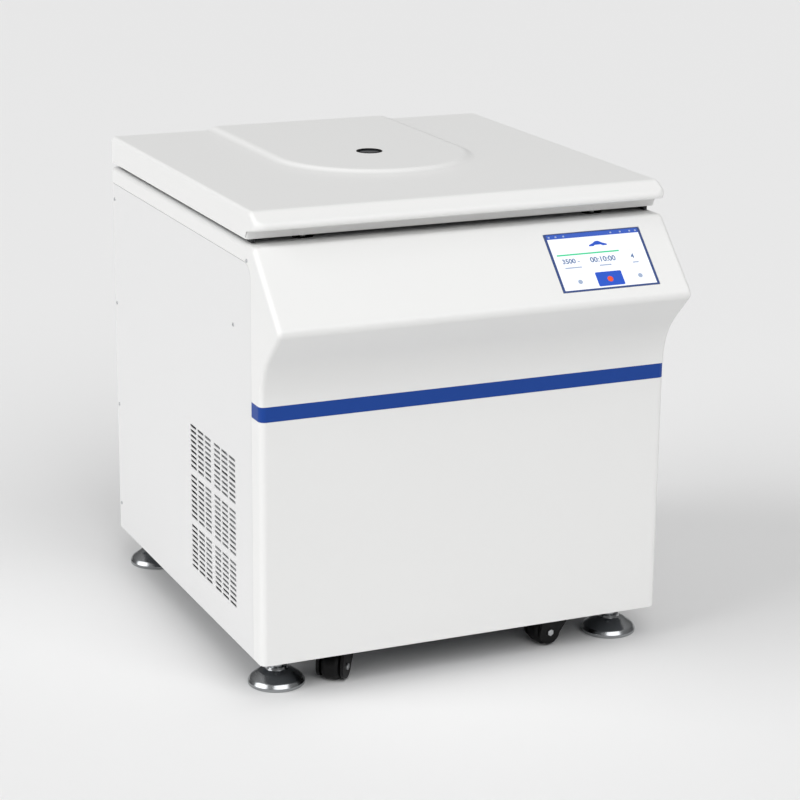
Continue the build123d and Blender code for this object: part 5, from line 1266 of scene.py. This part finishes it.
# %% The lid's underside
sheet = ring_plan("lid_sheet", 0.372, 0.061, 0.774, 0.004, LID_BOTTOM, LID_BOTTOM + 0.0025)
for x, y, radius, sides in (
    (-LOCK_X, LOCK_Y, 0.0046, 32), (LOCK_X, LOCK_Y, 0.0046, 32), (0, ROTOR_Y, 0.0221, 64),
):
    ends = [(x, y, height(LID_BOTTOM + dz)) for dz in (-0.01, 0.01)]
    combine(sheet, bar("hole", radius, *ends, sides), "DIFFERENCE")
STRUT_X = 0.335
STUD_Y, STUD_Z = BACK - 0.087, height(DECK - 0.012)
for side in (-1, 1):
    low_x, high_x = sorted((side * (STRUT_X - 0.019), side * (STRUT_X - 0.016)))
    ear = rounded([
        (STUD_Y - 0.012, STUD_Z - 0.012), (STUD_Y + 0.012, STUD_Z - 0.012),
        (STUD_Y + 0.012, height(LID_BOTTOM)), (STUD_Y - 0.012, height(LID_BOTTOM)),
    ], (0.0115, 0.0115, 0, 0), 8)
    bracket = drawn("bracket", [(low_x, y, z) for y, z in ear], (high_x - low_x, 0, 0))
    stud = bar("stud", 0.004, (side * (STRUT_X - 0.017), STUD_Y, STUD_Z),
               (side * (STRUT_X - 0.0083), STUD_Y, STUD_Z))
    combine(bracket, stud, "UNION")
    combine(sheet, bracket, "UNION")
dressed(sheet, brushed_stainless, "lid", "lid_plate")
dish = turned("lid_dish", rounded([
    (0.022, LID_BOTTOM - 0.012), (0.226, LID_BOTTOM - 0.012), (0.236, LID_BOTTOM - 0.004),
    (0.236, LID_BOTTOM), (0.022, LID_BOTTOM),
], (0, 0.006, 0.003, 0, 0), 6), (0, ROTOR_Y, height(0)), 128)
dressed(dish, bowl_steel, "lid", "lid_liner")

# %% [markdown]
# Two gas struts carry the lid. Each is a black enamelled cylinder whose upper socket sits on the
# lid's stud, and a chromed rod that runs out of its lower end. Both are turned along the strut's
# own line: drawn upright at the origin, then laid on that line with one matrix.

# %% Gas struts
STRUT_FOOT = Vector((0, BACK - 0.062, height(DECK - 0.239)))
STRUT_TOP = Vector((0, STUD_Y, STUD_Z))
STRUT_LENGTH = (STRUT_TOP - STRUT_FOOT).length
EYE_HALF = 0.008
lean = (STRUT_TOP - STRUT_FOOT).to_track_quat("Z", "Y").to_matrix().to_4x4()


def crossing(name, x, end, radius, half, sides):
    """A bar along X through one end of a strut."""
    return bar(name, radius, (x - half, end.y, end.z), (x + half, end.y, end.z), sides)


rods, cylinders = [], []
for side in (-1, 1):
    x = side * STRUT_X
    lay = Matrix.Translation((x, 0, 0)) @ Matrix.Translation(STRUT_FOOT) @ lean
    rod = turned("rod", rounded([
        (0, 0.005), (0.004, 0.005), (0.004, STRUT_LENGTH - 0.032), (0.007, STRUT_LENGTH - 0.032),
        (0.007, STRUT_LENGTH - 0.026), (0, STRUT_LENGTH - 0.026),
    ], (0, 0, 0, 0.0008, 0.0008, 0), 3), steps=32)
    rod.data.transform(lay)
    eye = crossing("eye", x, STRUT_FOOT, 0.008, EYE_HALF, 40)
    combine(eye, crossing("bore", x, STRUT_FOOT, 0.00405, 0.02, 32), "DIFFERENCE")
    soften(eye, lambda e: abs(abs(middle_of(e).x - x) - EYE_HALF) < 1e-5
           and not runs_along(e, 0, 1e-6), 0.0008, 2)
    rods += [rod, eye]
    body = turned("cylinder", rounded([
        (0.00405, 0.022), (0.0075, 0.022), (0.009, 0.0245), (0.009, STRUT_LENGTH - 0.017),
        (0.006, STRUT_LENGTH - 0.014), (0.006, STRUT_LENGTH - 0.002), (0, STRUT_LENGTH - 0.002),
        (0, STRUT_LENGTH - 0.020), (0.0075, STRUT_LENGTH - 0.020), (0.0075, 0.030), (0.00405, 0.030),
    ], (0, 0.001, 0.001, 0.002, 0.001, 0.0005, 0, 0, 0, 0, 0), 4), steps=48)
    body.data.transform(lay)
    socket = crossing("socket", x, STRUT_TOP, 0.008, EYE_HALF, 40)
    soften(socket, lambda e: abs(abs(middle_of(e).x - x) - EYE_HALF) < 1e-5, 0.0012, 3)
    cylinders += [body, socket]
dressed(joined("strut_rod_pair", rods), chrome_plate, "strut_rods", "strut_rods")
cylinder_pair = joined("strut_cylinder_pair", cylinders)
dressed(cylinder_pair, black_enamel, "strut_cylinders", "strut_cylinders")

# %% [markdown]
# Two steel hinges join the lid to the rear face. A hinge has two leaves and five knuckles round a
# pin, and four countersunk screws hold each leaf. The knuckles are short bars with broken edges,
# bored for the pin, and every leaf is a plate with rounded corners.

# %% Lid hinges
HINGE_Y = BACK + 0.0085
HINGE_Z = height(DECK + 0.0045)
HINGE_X = 0.230
LEAF_HALF, LEAF_TALL, LEAF_THICK = 0.042, 0.040, 0.003
PIN_HALF = 0.0435
HINGE_SCREWS = [(dx, dz) for dx in (-0.028, 0.028) for dz in (0.016, 0.031)]


def facing_back(place):
    """Matrix that lays an upright piece down on the rear face, facing backwards."""
    return Matrix.Translation(place) @ Matrix.Rotation(-pi / 2, 4, "X")


def hinge_knuckle(x, way, start, end):
    """One knuckle over a span of the pin, with the web that joins it to its leaf."""
    knuckle = bar("knuckle", 0.008, (x + start, HINGE_Y, HINGE_Z), (x + end, HINGE_Y, HINGE_Z), 48)
    low, high = sorted((HINGE_Z, HINGE_Z + way * 0.0125))
    web = box("web", (x + start, BACK, low), (x + end, BACK + LEAF_THICK, high))
    combine(knuckle, web, "UNION")
    soften(
        knuckle,
        lambda e: min(abs(middle_of(e).x - x - span) for span in (start, end)) < 1e-6
        and not runs_along(e, 0, 1e-6) and middle_of(e).y > BACK + 0.004,
        0.0006, 2,
    )
    bore = bar("bore", 0.0036, (x - 0.06, HINGE_Y, HINGE_Z), (x + 0.06, HINGE_Y, HINGE_Z), 32)
    return combine(knuckle, bore, "DIFFERENCE")


def countersunk_screw():
    """The head of a countersunk screw with its cross, upright at the origin."""
    head = turned("head", rounded([
        (0, -0.0018), (0.0016, -0.0018), (0.0037, 0.0001), (0, 0.0001),
    ], (0, 0, 0.0002, 0), 2), steps=24)
    for half_x, half_y in ((0.0019, 0.0004), (0.0004, 0.0019)):
        cross = box("cross", (-half_x, -half_y, -0.0008), (half_x, half_y, 0.003))
        combine(head, cross, "DIFFERENCE")
    return head


def hinge_leaf(name, x, way, spans):
    """A leaf above (way 1) or below (way -1) the axis, with knuckles over some spans."""
    face = height(LID_BOTTOM) if way > 0 else height(DECK)
    low, high = sorted((face, face + way * LEAF_TALL))
    leaf = box(name, (x - LEAF_HALF, BACK, low), (x + LEAF_HALF, BACK + LEAF_THICK, high))
    soften(leaf, lambda e: runs_along(e, 1) and abs(middle_of(e).z - face - way * LEAF_TALL) < 1e-4,
           0.005, 4)
    places = [(x + dx, BACK + LEAF_THICK, face + way * dz) for dx, dz in HINGE_SCREWS]
    for place in places:
        seat = turned("seat", [
            (0, -0.0020), (0.0018, -0.0020), (0.0040, 0.0002), (0.0040, 0.002), (0, 0.002),
        ], steps=24)
        seat.data.transform(facing_back(place))
        combine(leaf, seat, "DIFFERENCE")
    gap = box("gap", (x - 0.05, BACK - 0.001, HINGE_Z - 0.009),
              (x + 0.05, HINGE_Y + 0.01, HINGE_Z + 0.009))
    combine(leaf, gap, "DIFFERENCE")
    for start, end in spans:
        combine(leaf, hinge_knuckle(x, way, start, end), "UNION")
    heads = []
    for place in places:
        head = countersunk_screw()
        head.data.transform(facing_back(place))
        heads.append(head)
    return joined(name, [leaf, *heads])


third = 0.014
fixed, moving = [], []
for x in (-HINGE_X, HINGE_X):
    fixed.append(hinge_leaf("fixed_leaf", x, -1, [(-third, third)]))
    pin_ends = [(end, HINGE_Y, HINGE_Z) for end in (x - PIN_HALF, x + PIN_HALF)]
    pin = bar("hinge_pin", 0.0035, *pin_ends, 32)
    soften(pin, lambda e: abs(abs(middle_of(e).x - x) - PIN_HALF) < 1e-5, 0.001, 3)
    fixed.append(pin)
    outer_spans = [(-LEAF_HALF, -third - SNUG), (third + SNUG, LEAF_HALF)]
    moving.append(hinge_leaf("moving_leaf", x, 1, outer_spans))
dressed(joined("hinges_fixed", fixed), zinc_plate, "cabinet", "cabinet_hinges")
dressed(joined("hinges_moving", moving), zinc_plate, "lid", "lid_hinges")

# %% [markdown]
# The rear panel is one steel sheet with a punched grille in five columns of twelve slots for the
# cooling air, an opening for the mains inlet and a hole for the condensate spigot.

# %% The rear panel
rear_face = BACK - SHEET
rear = box("rear_sheet", (-0.3735, rear_face, height(0)), (0.3735, BACK, height(SEAM - 0.001)))
rear_top = drawn("top", [(x, rear_face, height(z)) for x, z in (
    (-0.372, SEAM - 0.002), (0.372, SEAM - 0.002), (0.372, DECK - 0.009),
    (0.366, DECK - 0.003), (-0.366, DECK - 0.003), (-0.372, DECK - 0.009),
)], (0, SHEET, 0))
combine(rear, rear_top, "UNION")
soften(rear, lambda e: all(abs(v.co.y - BACK) < 1e-6 for v in e.verts), 0.0005, 2)
pattern = drawn("slot", [
    (-0.180 + u, BACK - 0.01, height(0.330) + v) for u, v in stadium(0.032, 0.003, 6)
], (0, 0.02, 0))
slots = [
    copied(pattern, Matrix.Translation((column * 0.090, 0, row * 0.0186)))
    for column in range(5) for row in range(12)
]
bpy.data.objects.remove(pattern)
combine(rear, joined("grille", slots), "DIFFERENCE")
INLET_X, INLET_Z = 0.250, height(0.120)
SPIGOT_X, SPIGOT_Z = -0.250, height(0.060)


def inlet_box(name, half, back, front, low, high):
    """A box beside the inlet's middle; depths count from the rear face and heights from INLET_Z."""
    return box(name, (INLET_X - half, BACK + back, INLET_Z + low),
               (INLET_X + half, BACK + front, INLET_Z + high))


combine(rear, inlet_box("opening", 0.032, -0.01, 0.01, -0.042, 0.042), "DIFFERENCE")
hole_ends = [(SPIGOT_X, BACK + dy, SPIGOT_Z) for dy in (-0.01, 0.01)]
combine(rear, bar("hole", 0.006, *hole_ends, 32), "DIFFERENCE")
dressed(rear, powder_coat, "cabinet", "rear_panel")

# %% [markdown]
# The inlet is a moulded frame with the mains switch above a recessed three-pin socket. The frame
# is a plate and a body in one, with both wells cut out and their edges rounded. The rocker keeps
# the usual marks, a line for on and a ring for off, and the pins are nickel-plated brass.

# %% Mains inlet
nickel = finish_named("nickel_plated_brass", "#C9C4B8", Metallic=1.0, Roughness=0.25)
PLATE = 0.003
frame_plate = inlet_box("inlet_frame", 0.038, 0, PLATE, -0.048, 0.048)
soften(frame_plate, lambda e: runs_along(e, 1), 0.005, 5)
soften(frame_plate, lambda e: all(abs(v.co.y - BACK - PLATE) < 1e-6 for v in e.verts), 0.0010, 3)
combine(frame_plate, inlet_box("body", 0.031, -0.040, 0.0005, -0.041, 0.041), "UNION")
combine(frame_plate, inlet_box("well", 0.014, -0.020, 0.004, 0.008, 0.038), "DIFFERENCE")
socket = inlet_box("socket", 0.017, -0.022, 0.004, -0.036, -0.010)
soften(socket, lambda e: runs_along(e, 1) and middle_of(e).z < INLET_Z - 0.03, 0.006, 5)
combine(frame_plate, socket, "DIFFERENCE")
dressed(frame_plate, black_nylon, "cabinet", "power_entry")
blades = []
for dx in (-0.009, 0.0, 0.009):
    tip = 0.004 if dx == 0.0 else 0.006
    blade = box("blade", (INLET_X + dx - 0.0015, BACK - 0.023, INLET_Z - 0.026),
                (INLET_X + dx + 0.0015, BACK - tip, INLET_Z - 0.018))
    soften(blade, lambda e: middle_of(e).y > BACK - tip - 1e-5, 0.0006, 2)
    blades.append(blade)
dressed(joined("inlet_blades", blades), nickel, "cabinet")

# %% [markdown]
# The rocker's side outline is a shallow V, so that one half stands out when the other is pressed.

# %% Mains rocker
ROCKER_Z = INLET_Z + 0.023
PIVOT_Y = BACK - 0.006
ROCKER_HALF = 0.0135
ROCKER_TILT = radians(9.5)
rocker_outline = rounded([
    (PIVOT_Y - 0.008, ROCKER_Z - 0.009), (PIVOT_Y + 0.005, ROCKER_Z - 0.013),
    (PIVOT_Y + 0.007, ROCKER_Z), (PIVOT_Y + 0.009, ROCKER_Z + 0.012),
    (PIVOT_Y - 0.008, ROCKER_Z + 0.009),
], (0, 0.0015, 0.020, 0.0015, 0), 5)
rocker = drawn(
    "mains_rocker_key", [(INLET_X - ROCKER_HALF, y, z) for y, z in rocker_outline],
    (2 * ROCKER_HALF, 0, 0),
)
for side in (-1, 1):
    bore_ends = [(INLET_X + side * reach, PIVOT_Y, ROCKER_Z) for reach in (0.0115, 0.015)]
    combine(rocker, bar("bore", 0.00255, *bore_ends), "DIFFERENCE")
soften(
    rocker,
    lambda e: abs(abs(middle_of(e).x - INLET_X) - ROCKER_HALF) < 1e-5
    and middle_of(e).y > PIVOT_Y + 0.0045,
    0.0007, 2,
)
dressed(rocker, black_nylon, "mains_rocker", "mains_rocker")
mark_white = finish_named("printed_white_ink", "#E6E6E4", Roughness=0.6)
line_mark = box("rocker_marks", (-0.0005, -0.0003, -0.0020), (0.0005, 0.0003, 0.0020))
line_mark.data.transform(
    Matrix.Translation((INLET_X, PIVOT_Y + 0.0079, ROCKER_Z + 0.0065))
    @ Matrix.Rotation(-ROCKER_TILT, 4, "X")
)
bpy.ops.object.select_all(action="DESELECT")
bpy.ops.mesh.primitive_torus_add(
    major_radius=0.0021, minor_radius=0.00035, major_segments=32, minor_segments=8
)
ring_mark = bpy.context.object
ring_mark.data.transform(
    Matrix.Translation((INLET_X, PIVOT_Y + 0.00595, ROCKER_Z - 0.0065))
    @ Matrix.Rotation(pi / 2 - ROCKER_TILT, 4, "X")
)
marks = joined("rocker_marks", [line_mark, ring_mark])
dressed(marks, mark_white, "mains_rocker")

# %% [markdown]
# Condensed water leaves through a small spigot with a shoulder that holds the hose. It is turned,
# with a barb near its end, and laid along Y.

# %% Condensate spigot
spigot = turned("drain_spigot", rounded([
    (0.004, -0.0055), (0.014, -0.0055), (0.014, -0.0015), (0.006, -0.0015), (0.006, 0), (0.010, 0),
    (0.010, 0.002), (0.006, 0.002), (0.006, 0.0105), (0.0066, 0.0110), (0.0050, 0.016), (0.004, 0.016),
], (0, 0, 0.0005, 0, 0, 0.0005, 0.0008, 0.0003, 0.0003, 0.0002, 0.0004, 0.0003), 3), steps=48)
spigot.data.transform(facing_back((SPIGOT_X, BACK, SPIGOT_Z)))
dressed(spigot, black_nylon, "cabinet", "condensate_spigot")

# %% [markdown]
# The scene is a studio: a pale floor, two far and soft lights, one in front and one on the left,
# and a white tent overhead that is darker towards the horizon, so that gaps and undersides stay
# in shadow. A camera that looks past the floor sees a pale backdrop instead of the dark horizon.
# Far lights shade the floor evenly. The camera stands to the left of the front, a little above
# the lid, with a long lens, so that upright edges stay nearly parallel.

# %% Floor and sky
FLOOR_SIZE = 400
SKY_AT_HORIZON = 0.08
SKY_OVERHEAD = 0.50
SKY_SEEN = 0.79
bpy.ops.object.select_all(action="DESELECT")
bpy.ops.mesh.primitive_plane_add(size=FLOOR_SIZE, location=(0, 0, 0))
floor = bpy.context.object
floor.name = "studio_floor"
floor.data.materials.append(finish_named("pale_studio_floor", "#EDEDED", Roughness=0.9))

world = bpy.data.worlds.new("studio_sky")
world.use_nodes = True
tree = world.node_tree
ways = add(tree, "ShaderNodeTexCoord")
rise = add(tree, "ShaderNodeSeparateXYZ", links={"Vector": ways.outputs["Generated"]})
tent = add(
    tree, "ShaderNodeMapRange",
    {"From Min": 0.0, "From Max": 0.9, "To Min": SKY_AT_HORIZON, "To Max": SKY_OVERHEAD},
    {"Value": rise.outputs["Z"]},
)
path = add(tree, "ShaderNodeLightPath")
backdrop = add(
    tree, "ShaderNodeMix", {"B": SKY_SEEN},
    {"Factor": path.outputs["Is Camera Ray"], "A": tent.outputs["Result"]},
)
sky = tree.nodes["Background"]
sky.inputs["Color"].default_value = (1, 1, 1, 1)
tree.links.new(backdrop.outputs["Result"], sky.inputs["Strength"])
bpy.context.scene.world = world
print("floor", FLOOR_SIZE, "m wide, sky from", SKY_AT_HORIZON, "to", SKY_OVERHEAD)


# %% Lights
def soft_sun(name, toward, spread, power):
    """A distant soft light that shines from a direction; its spread is in degrees."""
    bpy.ops.object.select_all(action="DESELECT")
    bpy.ops.object.light_add(type="SUN", location=toward)
    light = bpy.context.object
    light.name = name
    light.data.angle = radians(spread)
    light.data.energy = power
    light.rotation_euler = Vector(toward).to_track_quat("Z", "Y").to_euler()
    return light


front_light = soft_sun("front_light", (0.1, -2.0, 2.05), 50, 1.45)
left_light = soft_sun("left_light", (-2.8, 0.1, 1.6), 50, 1.6)
print("lights", front_light.name, left_light.name)

# %% Camera
CAMERA_PLACE = (-1.7035, -3.90615, 1.6301)
CAMERA_YAW, CAMERA_PITCH, CAMERA_ROLL = -0.417655, 0.282769, 0.009456
LENS_MM = 109.83
back = Vector((
    sin(CAMERA_YAW) * cos(CAMERA_PITCH),
    -cos(CAMERA_YAW) * cos(CAMERA_PITCH),
    sin(CAMERA_PITCH),
))
right = (-back).cross(Vector((0, 0, 1))).normalized()
up = right.cross(-back)
across = right * cos(CAMERA_ROLL) + up * sin(CAMERA_ROLL)
above = up * cos(CAMERA_ROLL) - right * sin(CAMERA_ROLL)
turn = Matrix((across, above, back)).transposed().to_4x4()
bpy.ops.object.select_all(action="DESELECT")
bpy.ops.object.camera_add()
camera = bpy.context.object
camera.matrix_world = Matrix.Translation(CAMERA_PLACE) @ turn
camera.data.lens = LENS_MM
camera.data.clip_end = 60
bpy.context.scene.camera = camera
bpy.context.scene.view_settings.view_transform = "Standard"
print("camera at", CAMERA_PLACE, "with a lens of", LENS_MM, "mm")
